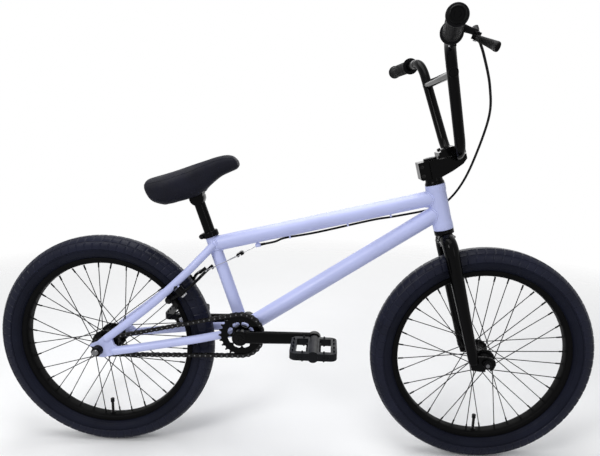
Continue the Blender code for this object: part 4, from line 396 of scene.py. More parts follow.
def hex_nut(start, direction, width, height, count=36):
    """A hexagon nut whose outer corners are turned off, out along the direction."""
    flat, rings = width / 2, []
    for share, limit in ((0, 1.155), (0.8, 1.155), (0.93, 1.06), (1, 0.95)):
        base = start + direction * (height * share)
        rings.append(hexagon(base, direction, flat, count, 0, pi / 6, flat * limit))
    return loft(rings)


def weld(start, direction, radius, other, other_direction, other_radius, bead=0.0021):
    """A rippled bead where a tube that starts inside another, round one comes out of it."""
    first, second = across(direction)
    route, count = [], 96
    for step in range(count):
        turn = 2 * pi * step / count
        base = start + first * (radius * cos(turn)) + second * (radius * sin(turn))
        gap = base - other
        gap = gap - other_direction * gap.dot(other_direction)
        ray = direction - other_direction * direction.dot(other_direction)
        a, b, c = ray.dot(ray), 2 * gap.dot(ray), gap.dot(gap) - other_radius ** 2
        inside = max(b * b - 4 * a * c, 0.0)
        route.append(base + direction * ((-b + inside ** 0.5) / (2 * a)))
    size = [bead * 2 * (1 + 0.1 * sin(step * pi / 2)) for step in range(count)]
    return sweep(route, size, 10, closed=True)


# Places on the bicycle, by the CAD's own formulas
def along_top_tube(forward, below):
    return TOP_TUBE_REAR + TOP_TUBE_FORWARD * forward + TOP_TUBE_DOWN * below


def steer_point(forward, out, up):
    return STEER_FOOT + STEER_FORWARD * forward + Y_AXIS * out + STEER_UP * up


def brake_point(front, out, up):
    return REAR_HUB + BRAKE_FRONT * front + Y_AXIS * out + BRAKE_UP * up


def crank_point(out, forward, side):
    return BB + polar(forward, radians(CRANK_ANGLE) + (0 if side < 0 else pi)) + Y_AXIS * side * out


def in_steer(form):
    return [STEER_MATRIX @ point for point in form[0]], form[1]


STEER_MATRIX = placed(STEER_FOOT, STEER_FORWARD, STEER_UP)
SADDLE_MATRIX = Matrix.Translation(SEAT_TILT_PIVOT) @ Matrix.Rotation(-radians(SADDLE_TILT), 4, "Y")
CABLE_STOP = along_top_tube(CABLE_STOP_ALONG, TOP_TUBE_DIAMETER / 2 + CABLE_STOP_DROP)
HORN_MIDDLE = brake_point(BRAKE_ARM_FRONT + BRAKE_ARM_WALL, 0, BRAKE_HORN_UP)
WIRE_FORWARD = (CABLE_STOP - HORN_MIDDLE).normalized()
YOKE_PLACE = HORN_MIDDLE.lerp(CABLE_STOP, YOKE_SHARE)
BAR_GRIP_RUN = BAR_WIDTH / 2 - BAR_SHOULDER_Y
BAR_SHOULDER_RISE = BAR_RISE - tan(radians(UPSWEEP)) * BAR_GRIP_RUN


def bar_end(side):
    back = tan(radians(BACKSWEEP)) * BAR_GRIP_RUN
    return steer_point(STEM_REACH - BAR_LEAN - back, side * BAR_WIDTH / 2, BAR_HEIGHT + BAR_RISE)


def bar_shoulder(side):
    return steer_point(STEM_REACH - BAR_LEAN, side * BAR_SHOULDER_Y, BAR_HEIGHT + BAR_SHOULDER_RISE)


def lever_frame():
    """The clamp and pin, and unit vectors along the bar and the blade, to the grip, and along the pin."""
    end = bar_end(-1)
    inward = (bar_shoulder(-1) - end).normalized()
    clamp = end + inward * ((BAR_WIDTH / 2 - PERCH_Y) / cos(radians(BACKSWEEP)))
    pin = clamp + STEER_FORWARD * LEVER_FORWARD - STEER_UP * LEVER_DROP - Y_AXIS * LEVER_PIVOT_OUT
    tip = pin - Y_AXIS * LEVER_LENGTH - STEER_UP * LEVER_FLARE
    blade = (tip - pin).normalized()
    middle = (tip + pin) / 2
    reach = end + inward * (end - middle).length - middle
    reach = (reach - blade * reach.dot(blade)).normalized()
    return clamp, inward, pin, blade, reach, blade.cross(reach)


CLAMP, INWARD, PIN, BLADE, REACH, PIN_AXIS = lever_frame()
BARREL = PIN - BLADE * 0.0175 - REACH * 0.002 - PIN_AXIS * 0.0095
CABLE_LEAVES = Vector((0.47, 0.52, -0.72)).normalized()


def chain_path():
    """The chain's rollers in order, clockwise from below the sprocket as seen from the drive side."""
    line = REAR_HUB - BB
    slope = atan2(line.z, line.x)
    drop = SPROCKET_RADIUS - DRIVER_RADIUS
    spread = acos(drop / line.length)
    straight = (line.length ** 2 - drop ** 2) ** 0.5
    on_driver = spread / pi * DRIVER_TEETH
    on_sprocket = (1 - spread / pi) * SPROCKET_TEETH
    count = 2 * round((on_driver + on_sprocket + 2 * straight / CHAIN_PITCH) / 2)
    on_straight = (count - on_driver - on_sprocket) / 2
    leave, arrive = slope - spread, slope + spread
    low_start, low_end = BB + polar(SPROCKET_RADIUS, leave), REAR_HUB + polar(DRIVER_RADIUS, leave)
    top_start, top_end = REAR_HUB + polar(DRIVER_RADIUS, arrive), BB + polar(SPROCKET_RADIUS, arrive)
    stretches = (
        (on_straight, lambda travel: low_start.lerp(low_end, travel / on_straight)),
        (on_driver, lambda travel: REAR_HUB + polar(DRIVER_RADIUS, leave + travel * 2 * pi / DRIVER_TEETH)),
        (on_straight, lambda travel: top_start.lerp(top_end, travel / on_straight)),
        (count, lambda travel: BB + polar(SPROCKET_RADIUS, arrive + travel * 2 * pi / SPROCKET_TEETH)),
    )
    places = []
    for travel in range(count):
        for length, place_at in stretches:
            if travel < length:
                places.append(place_at(travel))
                break
            travel -= length
    return places


def middle_turn(places, centre, radius):
    """The angle about the centre of the middle one of the places on its pitch circle."""
    on_circle = [place - centre for place in places if abs((place - centre).length - radius) < 1e-5]
    middle = on_circle[len(on_circle) // 2]
    return atan2(middle.z, middle.x)


CHAIN = chain_path()


# Materials
class Look:
    """A node material that is built up by short calls."""

    def __init__(self, name):
        self.material = bpy.data.materials.new(name)
        self.material.use_nodes = True
        self.tree = self.material.node_tree
        self.shader = self.tree.nodes["Principled BSDF"]
        self.place = self.tree.nodes.new("ShaderNodeTexCoord").outputs["Object"]
        self.bump = None

    def give(self, value, socket):
        if hasattr(value, "is_output"):
            self.tree.links.new(value, socket)
        else:
            socket.default_value = value

    def add(self, kind, **inputs):
        node = self.tree.nodes.new(kind)
        for name, value in inputs.items():
            self.give(value, node.inputs[name.replace("_", " ")])
        return node

    def noise(self, scale, detail=3.0, stretch=None, rough=0.5):
        place = self.place
        if stretch:
            place = self.add("ShaderNodeMapping", Vector=place, Scale=stretch).outputs[0]
        node = self.add("ShaderNodeTexNoise", Vector=place, Scale=scale, Detail=detail, Roughness=rough)
        return node.outputs["Fac"]

    def patches(self, colour, dark, light, noise, start=0.3, end=0.7):
        """The linear colour times a dark and a light share, in patches."""
        node = self.add("ShaderNodeValToRGB", Fac=noise)
        for element, place, share in zip(node.color_ramp.elements, (start, end), (dark, light)):
            element.position = place
            element.color = (*[channel * share for channel in colour], 1)
        return node.outputs["Color"]

    def span(self, value, low, high, start=0.0, end=1.0):
        return self.add("ShaderNodeMapRange", Value=value, From_Min=start, From_Max=end,
                        To_Min=low, To_Max=high).outputs[0]

    def blend(self, share, first, second):
        node = self.tree.nodes.new("ShaderNodeMix")
        node.data_type = "RGBA"
        for value, socket in zip((share, first, (*second, 1)), (0, 6, 7)):
            self.give(value, node.inputs[socket])
        return node.outputs[2]

    def relief(self, height, strength, distance=0.0002):
        node = self.add("ShaderNodeBump", Height=height, Strength=strength, Distance=distance)
        if self.bump:
            self.give(self.bump, node.inputs["Normal"])
        self.bump = node.outputs["Normal"]

    def done(self, colour, roughness, **fixed):
        if self.bump:
            fixed["Normal"] = self.bump
        for name, value in dict(fixed, Base_Color=colour, Roughness=roughness).items():
            self.give(value, self.shader.inputs[name.replace("_", " ")])
        return self.material


def paint(name, colour, rough, coat, orange_peel, dust, shine=0.5):
    """Sprayed paint: a faint mottle, orange peel, handling marks and a little dust in patches."""
    look = Look(name)
    mottle = look.patches(colour, 0.94, 1.05, look.noise(9, 2))
    marks = look.span(look.noise(60, 6, rough=0.7), 0.0, 0.1, 0.6, 0.85)
    tint = look.blend(marks, mottle, dust)
    smear = look.span(look.noise(24, 4, (1, 1, 3)), rough - 0.05, rough + 0.1, 0.3, 0.7)
    look.relief(look.noise(700, 1), orange_peel, 0.0001)
    return look.done(tint, smear, Coat_Weight=coat, Coat_Roughness=0.12, Specular_IOR_Level=shine)


def metal(name, colour, rough, metallic, grain, stretch, dust, shine=0.5):
    """Machined or forged metal with a fine grain, dull patches and some grime."""
    look = Look(name)
    mottle = look.patches(colour, 0.82, 1.12, look.noise(40, 4), 0.35, 0.68)
    grime = look.span(look.noise(90, 5, rough=0.65), 0.0, 0.35, 0.62, 0.82)
    tint = look.blend(grime, mottle, dust)
    smear = look.span(look.noise(55, 4), rough - 0.07, rough + 0.12, 0.3, 0.7)
    look.relief(look.noise(160, 3, stretch), grain, 0.00015)
    return look.done(tint, smear, Metallic=metallic, Specular_IOR_Level=shine)


def rubber(name, colour, rough, grain, fine, dust, shine):
    """Moulded rubber or plastic: fine pitting, a bloom in patches, and scuffs."""
    look = Look(name)
    mottle = look.patches(colour, 0.8, 1.2, look.noise(14, 3))
    scuffs = look.span(look.noise(75, 6, rough=0.75), 0.0, 0.3, 0.58, 0.8)
    tint = look.blend(scuffs, mottle, dust)
    smear = look.span(look.noise(50, 3), rough - 0.08, rough + 0.08, 0.3, 0.7)
    look.relief(look.noise(fine, 2), grain, 0.0002)
    look.relief(look.noise(fine / 6, 3), grain * 0.5, 0.0003)
    return look.done(tint, smear, Specular_IOR_Level=shine)


def fabric(name, colour):
    """A close woven cover: warp and weft in the bump, with a painted sheen that makes the weave's high places
    lighter.
    """
    look = Look(name)
    waves = []
    for stretch in ((1, 0.15, 0), (-0.15, 1, 0)):
        turned = look.add("ShaderNodeMapping", Vector=look.place, Scale=stretch).outputs[0]
        wave = look.add("ShaderNodeTexWave", Vector=turned, Scale=330.0, Distortion=0.6, Detail=1.0,
                        Detail_Scale=2.0)
        waves.append(wave.outputs["Fac"])
    product = look.tree.nodes.new("ShaderNodeMath")
    product.operation, product.use_clamp = "MULTIPLY", True
    for wave, socket in zip(waves, product.inputs):
        look.give(wave, socket)
    weave = product.outputs[0]
    cloth = look.patches(colour, 0.65, 1.35, look.noise(30, 5), 0.3, 0.72)
    # Painted sheen: the weave's high places get the lighter colour.
    thread = look.blend(look.span(weave, 0.0, 0.25), cloth, tuple(channel * 1.6 for channel in colour))
    smear = look.span(look.noise(60, 3), 0.52, 0.7, 0.3, 0.7)
    look.relief(weave, 0.3, 0.0002)
    look.relief(look.noise(45, 4), 0.12, 0.0006)
    return look.done(thread, smear, Specular_IOR_Level=0.13)


LAVENDER = paint("lavender_finish", (0.452, 0.49, 0.765), 0.4, 0.1, 0.05, (0.6, 0.62, 0.78))
GLOSS = paint("gloss_black_finish", (0.0012, 0.0012, 0.0014), 0.13, 0.0, 0.04, (0.004, 0.004, 0.0045), 0.06)
SATIN = paint("satin_black_finish", (0.0018, 0.0018, 0.0022), 0.28, 0.0, 0.1, (0.006, 0.006, 0.0065), 0.07)
RIM_BLACK = paint("rim_black_finish", (0.0014, 0.0014, 0.0016), 0.5, 0.0, 0.05, (0.004, 0.004, 0.004), 0.05)
MACHINED = metal("machined_black_finish", (0.0026, 0.0026, 0.003), 0.26, 0.08, 0.18, (1, 40, 1),
                 (0.008, 0.008, 0.008), 0.08)
STEEL = metal("bright_steel_finish", (0.34, 0.34, 0.35), 0.26, 1.0, 0.1, (1, 30, 1), (0.16, 0.15, 0.14))
ROLLER = metal("worn_steel_finish", (0.13, 0.13, 0.135), 0.24, 1.0, 0.1, (1, 1, 1), (0.05, 0.048, 0.046))
DARK_STEEL = metal("chain_steel_finish", (0.008, 0.0078, 0.008), 0.26, 0.3, 0.15, (1, 1, 1),
                   (0.007, 0.006, 0.005), 0.14)
SPOKE_BLACK = metal("black_spoke_finish", (0.003, 0.003, 0.0032), 0.32, 0.1, 0.08, (1, 1, 1),
                    (0.006, 0.006, 0.006), 0.14)
TYRE = rubber("tyre_finish", (0.0058, 0.0068, 0.014), 0.52, 0.25, 700.0, (0.012, 0.014, 0.024), 0.07)
# The tread's lighter colour than the sidewall's is a painted highlight over the crown and shoulders; its
# lower roughness and higher shine are the rubber's own.
HIGHLIT_TREAD = rubber("tyre_tread_painted_highlight", (0.0068, 0.008, 0.0185), 0.38, 0.2, 700.0, (0.016, 0.019, 0.036), 0.12)
GRIP = rubber("grip_finish", (0.0026, 0.0026, 0.0032), 0.5, 0.2, 800.0, (0.005, 0.005, 0.006), 0.06)
PLASTIC = rubber("moulded_plastic_finish", (0.0032, 0.0035, 0.005), 0.38, 0.18, 500.0, (0.01, 0.01, 0.013),
                 0.1)
HOUSING = rubber("cable_housing_finish", (0.002, 0.002, 0.0024), 0.34, 0.06, 1200.0, (0.006, 0.006, 0.006),
                 0.12)
PAD = rubber("brake_pad_finish", (0.0055, 0.0052, 0.0052), 0.7, 0.3, 700.0, (0.02, 0.019, 0.018), 0.18)
COVER = fabric("saddle_cover_finish", (0.004, 0.0043, 0.0092))


# Pieces
def shown(name, data):
    made = bpy.data.objects.new(name, data)
    bpy.context.scene.collection.objects.link(made)
    return made


def closed_mesh(name, form):
    """A mesh of the form, with its faces turned outwards."""
    mesh = bpy.data.meshes.new(name)
    mesh.from_pydata([tuple(point) for point in form[0]], [], form[1])
    work = bmesh.new()
    work.from_mesh(mesh)
    bmesh.ops.recalc_face_normals(work, faces=work.faces)
    work.to_mesh(mesh)
    work.free()
    return mesh


def cut_away(made, form):
    """The piece less a closed form, by a Boolean that is applied at once."""
    cutter = shown("cutter", closed_mesh("cutter", form))
    step = made.modifiers.new("cut", "BOOLEAN")
    step.operation, step.solver, step.object = "DIFFERENCE", "EXACT", cutter
    result = made.evaluated_get(bpy.context.evaluated_depsgraph_get())
    fresh = bpy.data.meshes.new_from_object(result)
    made.modifiers.remove(step)
    made.data = fresh
    bpy.data.objects.remove(cutter, do_unlink=True)


def soften(made, width, angle):
    edge = made.modifiers.new("edge", "BEVEL")
    edge.width, edge.segments, edge.limit_method, edge.angle_limit = width, 2, "ANGLE", radians(angle)
    return edge


def piece(name, body, parts, stands_for="", angle=30, bevel=0.0, cuts=()):
    """One object from (material, form, form ...) parts, less the cuts.

    The angle is the least one that shows as an edge.
    """
    forms, indices = [], []
    for index, (_, *shapes) in enumerate(parts):
        forms += shapes
        indices += [index] * sum(len(faces) for _, faces in shapes)
    mesh = closed_mesh(name, merge(*forms))
    for look, *_ in parts:
        mesh.materials.append(look)
    mesh.polygons.foreach_set("material_index", indices)
    made = shown(name, mesh)
    for form in cuts:
        cut_away(made, form)
    made.data.shade_smooth()
    made.data.set_sharp_from_angle(angle=radians(angle))
    if bevel:
        soften(made, bevel, 35).harden_normals = True
    if isinstance(body, str):
        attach(made, body)
    else:
        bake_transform(made)
    if stands_for:
        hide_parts(stands_for)
    return made


# Frame
CHAINSTAY_WIDTHS = ((0.0, 0.058), (0.15, 0.0555), (0.4, 0.048), (0.62, 0.0415), (0.8, 0.031), (1.0, 0.02))
SEATSTAY_WIDTHS = ((0.0, 0.058), (0.4, 0.052), (0.72, 0.0435), (0.88, 0.034), (1.0, 0.0115))
CHAINSTAY_FOOT = REAR_HUB + Vector((0.034, 0, -0.003))
SEATSTAY_FOOT = REAR_HUB + Vector((0.019, 0, 0.027))
SEATSTAY_HEAD = SEAT_TUBE_TOP - SEAT_UP * 0.03
SHELL_RADIUS = 0.024
BEARING_SEAT_RADIUS = 0.0206


def stay_route(start, end, widths, side, sag=0.0):
    down = Vector((end.z - start.z, 0, start.x - end.x)).normalized()
    points = []
    for share, out in widths:
        place = start.lerp(end, share) + down * (sag * 4 * share * (1 - share))
        points.append(Vector((place.x, side * out, place.z)))
    return smooth_route(points, 10)


def chainstay(route):
    """A chainstay that is slimmer from side to side at both of its ends."""
    slim, last = CHAINSTAY_DIAMETER * 0.85, len(route) - 1
    swell = [max(sin(pi * min(step / last / 0.7, 1)), 0) ** 0.7 for step in range(last + 1)]
    wide = [slim + (CHAINSTAY_DIAMETER - slim) * share for share in swell]
    return sweep(route, wide, 32, Y_AXIS, CHAINSTAY_DIAMETER)


def stay_cap(route, width):
    """The rounded end of a stay, over its dropout."""
    along = (route[1] - route[0]).normalized()
    ends = ((0.0, 1.0), (-0.003, 0.93), (-0.006, 0.7), (-0.0078, 0.3))
    return sweep([route[0] + along * at for at, _ in ends], [width * size for _, size in ends], 32)


def dropout(side):
    """A rear dropout with its slot open to the rear."""
    slot = 0.0073
    outline = mm(0, (-21, 7.3), (-18, 12.5), (-4, 18.5), (10, 31), (22, 35), (33, 27), (37, 14), (47, 6),
                 (45, -10), (30, -13), (12, -18.5), (-3, -17.5), (-13, -12.5), (-16, -7.3))
    middle = side * (REAR_DROPOUT_SPACING + DROPOUT_WALL) / 2
    low, high = middle - DROPOUT_WALL / 2, middle + DROPOUT_WALL / 2
    return plate(outline + arc((0, 0), slot, -90, 90, 16), low, high, Matrix.Translation(REAR_HUB))


def stays(side):
    """Both stays of a side, with their caps, welds and dropout."""
    chain_route = stay_route(CHAINSTAY_FOOT, BB, CHAINSTAY_WIDTHS, side)
    seat_route = stay_route(SEATSTAY_FOOT, SEATSTAY_HEAD, SEATSTAY_WIDTHS, side, SEATSTAY_SAG)
    straight = stay_route(SEATSTAY_FOOT, SEATSTAY_HEAD, SEATSTAY_WIDTHS, side)
    join, chain_end = seat_route[-7], chain_route[-1]
    return [
        chainstay(chain_route),
        sweep(seat_route, SEATSTAY_DIAMETER, 32),
        dropout(side),
        stay_cap(chain_route, 0.0185),
        stay_cap(straight, SEATSTAY_DIAMETER),
        weld(join, (seat_route[-9] - join).normalized(), SEATSTAY_DIAMETER / 2, BB, SEAT_UP,
             SEAT_TUBE_DIAMETER / 2, 0.0017),
        weld(chain_end, (chain_route[-4] - chain_end).normalized(), CHAINSTAY_DIAMETER * 0.45, BB, Y_AXIS,
             SHELL_RADIUS, 0.0017),
    ]


def brake_boss(side):
    """The stub that a brake arm turns on, with its bead and the spring's pin."""
    def at(front, turn=0.0, radius=0.0):
        out, up = radius * cos(turn), radius * sin(turn)
        return brake_point(front, side * (BRAKE_PIVOT_Y + out), BRAKE_PIVOT_UP + up)

    back, radius = -0.004, 0.008
    spring = brake_point(0.01, side * (BRAKE_PIVOT_Y + 0.006), BRAKE_PIVOT_UP + 0.0075)
    return [
        lathe(disc(0, BRAKE_BOSS_FRONT - back, radius, 0.0007), 40, BRAKE_FRONT, at(back)),
        sweep([at(0.0075, 2 * pi * k / 40, radius) for k in range(40)], 0.003, 8, BRAKE_FRONT, closed=True),
        bar(spring, spring + BRAKE_FRONT * 0.0036, 0.0045, 16),
    ]


def head_tube():
    wide, slim = HEAD_TUBE_END_DIAMETER / 2, HEAD_TUBE_DIAMETER / 2
    seat_depth, waist = 0.0073, STEERER_DIAMETER / 2 + 0.0025
    inside = [(seat_depth, waist), (seat_depth, BEARING_SEAT_RADIUS), (0, BEARING_SEAT_RADIUS)]
    profile = [(HEAD_FOOT + along, radius) for along, radius in inside]
    profile += mm(HEAD_FOOT, (0, -0.8), (0.8, 0), (13.2, 0), (14.5, -0.3), over=wide)
    profile += mm(HEAD_FOOT, (16.5, 0.3), (18, 0), over=slim)
    return lathe(mirrored(profile, (HEAD_FOOT + HEAD_TOP) / 2), 72, STEER_UP, STEER_FOOT)


def main_tubes():
    half, edge = BOTTOM_BRACKET_WIDTH / 2, 0.0012
    head_radius, seat_radius = HEAD_TUBE_DIAMETER / 2, SEAT_TUBE_DIAMETER / 2
    top_radius, down_radius = TOP_TUBE_DIAMETER / 2, DOWN_TUBE_DIAMETER / 2
    down_back = (BB - DOWN_TUBE_FRONT).normalized()
    gap_middle = HEAD_FOOT + DOWN_TUBE_ABOVE_HEAD_FOOT + (TOP_TUBE_FRONT - DOWN_TUBE_FRONT).length / 2
    crotch = STEER_FOOT + STEER_UP * gap_middle
    return [
        bar(BB, DOWN_TUBE_FRONT, DOWN_TUBE_DIAMETER, 64),
        bar(TOP_TUBE_REAR, TOP_TUBE_FRONT, TOP_TUBE_DIAMETER, 64),
        head_tube(),
        lathe(sleeve(0.02, SEAT_TUBE_LENGTH, 0.013, seat_radius, 0.0008), 64, SEAT_UP, BB),
        lathe(sleeve(-half, half, BEARING_SEAT_RADIUS, SHELL_RADIUS, edge), 72, Y_AXIS, BB),
        weld(TOP_TUBE_FRONT, -TOP_TUBE_FORWARD, top_radius, STEER_FOOT, STEER_UP, head_radius),
        weld(DOWN_TUBE_FRONT, down_back, down_radius, STEER_FOOT, STEER_UP, head_radius),
        weld(TOP_TUBE_REAR, TOP_TUBE_FORWARD, top_radius, BB, SEAT_UP, seat_radius),
        weld(BB, -down_back, down_radius, BB, Y_AXIS, SHELL_RADIUS, 0.002),
        weld(BB, SEAT_UP, seat_radius, BB, Y_AXIS, SHELL_RADIUS, 0.002),
        sweep([crotch - STEER_FORWARD * 0.012, crotch - STEER_FORWARD * 0.03], [0.02, 0.006], 24, Y_AXIS,
              [0.01, 0.004]),
    ]


def cable_guides():
    """The cable's stop under the top tube, and three small hooks that hold its housing."""
    stop_top = along_top_tube(CABLE_STOP_ALONG, TOP_TUBE_DIAMETER / 2 - 0.003)
    stop = mm(0, (-6, 1.2), (-6, 4.2), (-5.5, 4.5), (5, 4.5), (6, 4), (6, 2.7), (-1, 2.7))
    forms = [sweep([stop_top, CABLE_STOP], [0.0082, 0.006], 20, TOP_TUBE_FORWARD, [0.0055, 0.005]),
             lathe(stop, 28, TOP_TUBE_FORWARD, CABLE_STOP)]
    for share in (0.34, 0.6, 0.79):
        at = along_top_tube(TOP_TUBE_RUN * share, TOP_TUBE_DIAMETER / 2 - 0.0002)
        bend = mm(0, (-3.6, -0.6), (-3.6, 3.2), (-2.6, 5.4), (0, 6.3), (2.6, 5.4))
        hook = smooth_route([at + Y_AXIS * out + TOP_TUBE_DOWN * below for out, below in bend], 4)
        forms.append(sweep(hook, 0.004, 10, TOP_TUBE_FORWARD, 0.0014, 3.0))
    return forms


def make_frame():
    forms = main_tubes()
    for side in SIDES.values():
        forms += stays(side) + brake_boss(side)
    piece("frame_tubes", "frame_body", [(LAVENDER, *forms, *cable_guides())], "frame", 38)


def make_seat_clamp():
    """A collar with a pinch bolt through its two ears at the rear."""
    high, step = SEAT_TUBE_LENGTH + 0.003, SEAT_TUBE_LENGTH + GAP
    low, bore, rim = high - 0.014, 0.0147, 0.013
    profile = mm(low, (0, 14.7), (0, 17.5), (1.2, 18.7), (11, 18.7), (13, 17.9), (14, 16.7))
    collar = lathe(profile + [(high, rim), (step, rim), (step, bore)], 72, SEAT_UP, BB)
    place = placed(BB + SEAT_UP * ((low + high) / 2), Vector((-SEAT_UP.z, 0, SEAT_UP.x)), SEAT_UP)
    outline = mm(0, (13, -5.8), (21.5, -5.8)) + arc((0.0204, 0), 0.0058, -80, 80, 10) + mm(0, (13, 5.8))
    ears = [plate(outline, *between(side, 0.0011, 0.0088), place) for side in (-1, 1)]
    piece("seat_clamp_collar", "frame_body", [(GLOSS, collar, *ears)], "seat_clamp",
          bevel=0.0004)
    bolt_at = place @ Vector((0.0206, 0, 0))
    head = socket_head(bolt_at - Y_AXIS * 0.0078, -Y_AXIS, 0.008, 0.003)
    nut = socket_head(bolt_at + Y_AXIS * 0.0078, Y_AXIS, 0.0078, 0.0022)
    shank = bar(bolt_at - Y_AXIS * 0.004, bolt_at + Y_AXIS * 0.004, 0.0045, 20)
    piece("seat_clamp_bolt", "frame_body", [(DARK_STEEL, head, shank, nut)])


make_frame()
make_seat_clamp()


# Steering
def make_fork():
    crown, top, half = AXLE_TO_CROWN - 0.018, FORK_LEG_TOP_DIAMETER, FRONT_DROPOUT_SPACING / 2
    stations = ((FORK_LEG_FOOT_Y, 0.012, 0.0228), (0.05055, 0.08, 0.0253), (0.046, 0.235, 0.03146),
                (0.045, crown - 0.026, top), (0.038, crown - 0.008, top), (0.022, crown, top))
    leg = smooth_route([Vector((0, out, up)) for out, up, _ in stations], 10)
    size = smooth_numbers([size for *_, size in stations], 10)
    route = leg + [Vector((0, -point.y, point.z)) for point in reversed(leg)]
    race_top = AXLE_TO_CROWN + CROWN_RACE_HEIGHT
    forms = [
        lathe(disc(0.2785, STEM_TOP - 0.002, STEERER_DIAMETER / 2, 0.0006), 48, STEER_UP, STEER_FOOT),
        lathe(disc(AXLE_TO_CROWN - 0.006, race_top, 0.022, 0.0008), 56, STEER_UP, STEER_FOOT),
        in_steer(sweep(route, size + size[::-1], 40, X_AXIS)),
        weld(steer_point(0, 0, crown + 0.004), STEER_UP, 0.0215, steer_point(0, 0, crown), Y_AXIS, top / 2,
             0.0016),
    ]
    slot = 0.0053
    outline = mm(0, (-10, 16), (8, 22), (26, 18.5), (40, 12.5), (47.5, 4), (47.5, -6), (42, -14))
    outline += [(FORK_OFFSET + slot, -0.019)] + arc((FORK_OFFSET, 0), slot, 0, 180, 14)
    outline += [(FORK_OFFSET - slot, -0.018)] + mm(0, (10, -15), (-8, -8))
    toe, ends = leg[0], mm(0, (0, 22.8), (-4, 21.5), (-7.5, 17), (-9.5, 8))
    for side in SIDES.values():
        forms.append(in_steer(plate(outline, *between(side, half, half + FORK_DROPOUT_WALL))))
        cap = [Vector((0, side * min(toe.y, half + wide / 2 + 0.0002), toe.z + at)) for at, wide in ends]
        forms.append(in_steer(sweep(cap, [wide for _, wide in ends], 40, X_AXIS)))
    piece("fork_tubes", "steering", [(GLOSS, *forms)], "fork", 34)


def make_headset_cover():
    profile = mm(HEAD_TOP + GAP, (0, 14.6), (0, 21.3), (0.3, 21.5), (3.6, 21.5), (4, 21.3), (4.3, 20.7),
                 (4.8, 20.7), (6, 20), (8.5, 19.1), (14.2, 19), (14.5, 18.7), (14.5, 14.6))
    cover = lathe(profile, 72, STEER_UP, STEER_FOOT)
    piece("headset_cover", "steering", [(GLOSS, cover)], "upper_bearing_cover", 40)


def make_stem():
    half, front, foot, bar_up, split = STEM_WIDTH / 2, 0.0734, STEM_FOOT, BAR_HEIGHT, 0.0008
    bore = lathe(disc(foot - 0.01, STEM_TOP + 0.01, STEERER_DIAMETER / 2 + 0.0002), 64, STEER_UP, STEER_FOOT)
    seat = lathe(disc(-0.04, 0.04, BAR_DIAMETER / 2 + 0.0001), 64, Y_AXIS, steer_point(STEM_REACH, 0, bar_up))
    block = [(-0.0065, foot), (0.014, foot), (0.038, foot + 0.007), (front - 0.01, bar_up - 0.0215),
             (front, bar_up - 0.012), (front, bar_up - split), (0.0155, bar_up - split), (0.0155, STEM_TOP),
             (-0.0065, STEM_TOP)]
    piece("stem_block", "steering", [(GLOSS, in_steer(plate(block, -half, half)))],
          "stem_body", 32, 0.0022, [bore, seat])
    clamp = [(-0.0305, foot + 0.003), (-0.027, foot), (-0.0045, foot), (-0.0045, STEM_TOP),
             (-0.0305, STEM_TOP)]
    gap = in_steer(box((-0.05, -0.001, foot - 0.01), (-0.012, 0.001, STEM_TOP + 0.01)))
    piece("stem_clamp", "steering", [(GLOSS, in_steer(plate(clamp, -0.0205, 0.0205)))],
          "", 32, 0.003, [bore, gap])
    high = bar_up + BAR_DIAMETER / 2 + 0.009375
    lid = [(0.0165, bar_up + split), (front, bar_up + split), (front, bar_up + 0.009),
           (front - 0.008, high - 0.004), (0.052, high), (0.038, high), (0.0165, bar_up + 0.013)]
    recess = in_steer(box((0.045, 0.01 - half, high - 0.0007), (0.051, half - 0.01, high + 0.002)))
    piece("stem_lid", "steering", [(GLOSS, in_steer(plate(lid, -half, half)))],
          "stem_top_plate", 32, 0.0016, [seat, recess])


def make_stem_bolts():
    rear_place, rear_lean = (0.0265, BAR_HEIGHT + 0.0155), Vector((-0.3, 0, 0.954))
    front_place, front_lean = (0.0679, BAR_HEIGHT + 0.0125), Vector((0.33, 0, 0.944))
    bolts = []
    for out in (-0.0185, 0.0185):
        bolts.append(socket_head(Vector((rear_place[0], out, rear_place[1])), rear_lean, 0.0085, 0.0042))
        bolts.append(socket_head(Vector((front_place[0], out, front_place[1])), front_lean, 0.0085, 0.0036))
    for up in (0.01, 0.03):
        for side in (-1, 1):
            start = Vector((-0.0235, side * 0.0203, STEM_FOOT + up))
            bolts.append(socket_head(start, Y_AXIS * side, 0.0085, 0.0026))
    piece("stem_bolts", "steering", [(DARK_STEEL, *map(in_steer, bolts))], angle=32)
    foot = STEM_TOP + GAP
    cap = mm(foot, (0, 0), (0, 14.4), (0.6, 14.8), (3.4, 14.8), (4.2, 14.3), (4.5, 13.4), (4.5, 7.5),
             (2.8, 6.6), (2.8, 0))
    bolt = socket_head(STEER_FOOT + STEER_UP * (foot + 0.0026), STEER_UP, 0.01, 0.0022)
    piece("steerer_cap_disc", "steering",
          [(MACHINED, lathe(cap, 64, STEER_UP, STEER_FOOT)), (DARK_STEEL, bolt)], "steerer_top_cap", 32)


def make_handlebar():
    feet = {side: steer_point(STEM_REACH, side * BAR_FOOT_Y, BAR_HEIGHT) for side in (-1, 1)}
    corners = [bar_end(1), bar_shoulder(1), feet[1], feet[-1], bar_shoulder(-1), bar_end(-1)]
    half, up = CROSSBAR_HALF, BAR_HEIGHT + CROSSBAR_RISE
    forward = STEM_REACH - BAR_LEAN * (CROSSBAR_RISE / BAR_SHOULDER_RISE)
    forms = [sweep(rounded_route(corners, 0.04, 18), BAR_DIAMETER, 40),
             bar(steer_point(forward, -half, up), steer_point(forward, half, up), CROSSBAR_DIAMETER, 40)]
    for side in SIDES.values():
        start = steer_point(forward, side * (half - 0.04), up)
        rise = (bar_shoulder(side) - feet[side]).normalized()
        forms.append(weld(start, Y_AXIS * side, CROSSBAR_DIAMETER / 2, feet[side], rise, BAR_DIAMETER / 2,
                          0.0016))
    piece("handlebar_tubes", "steering", [(GLOSS, *forms)], "handlebar", 40)


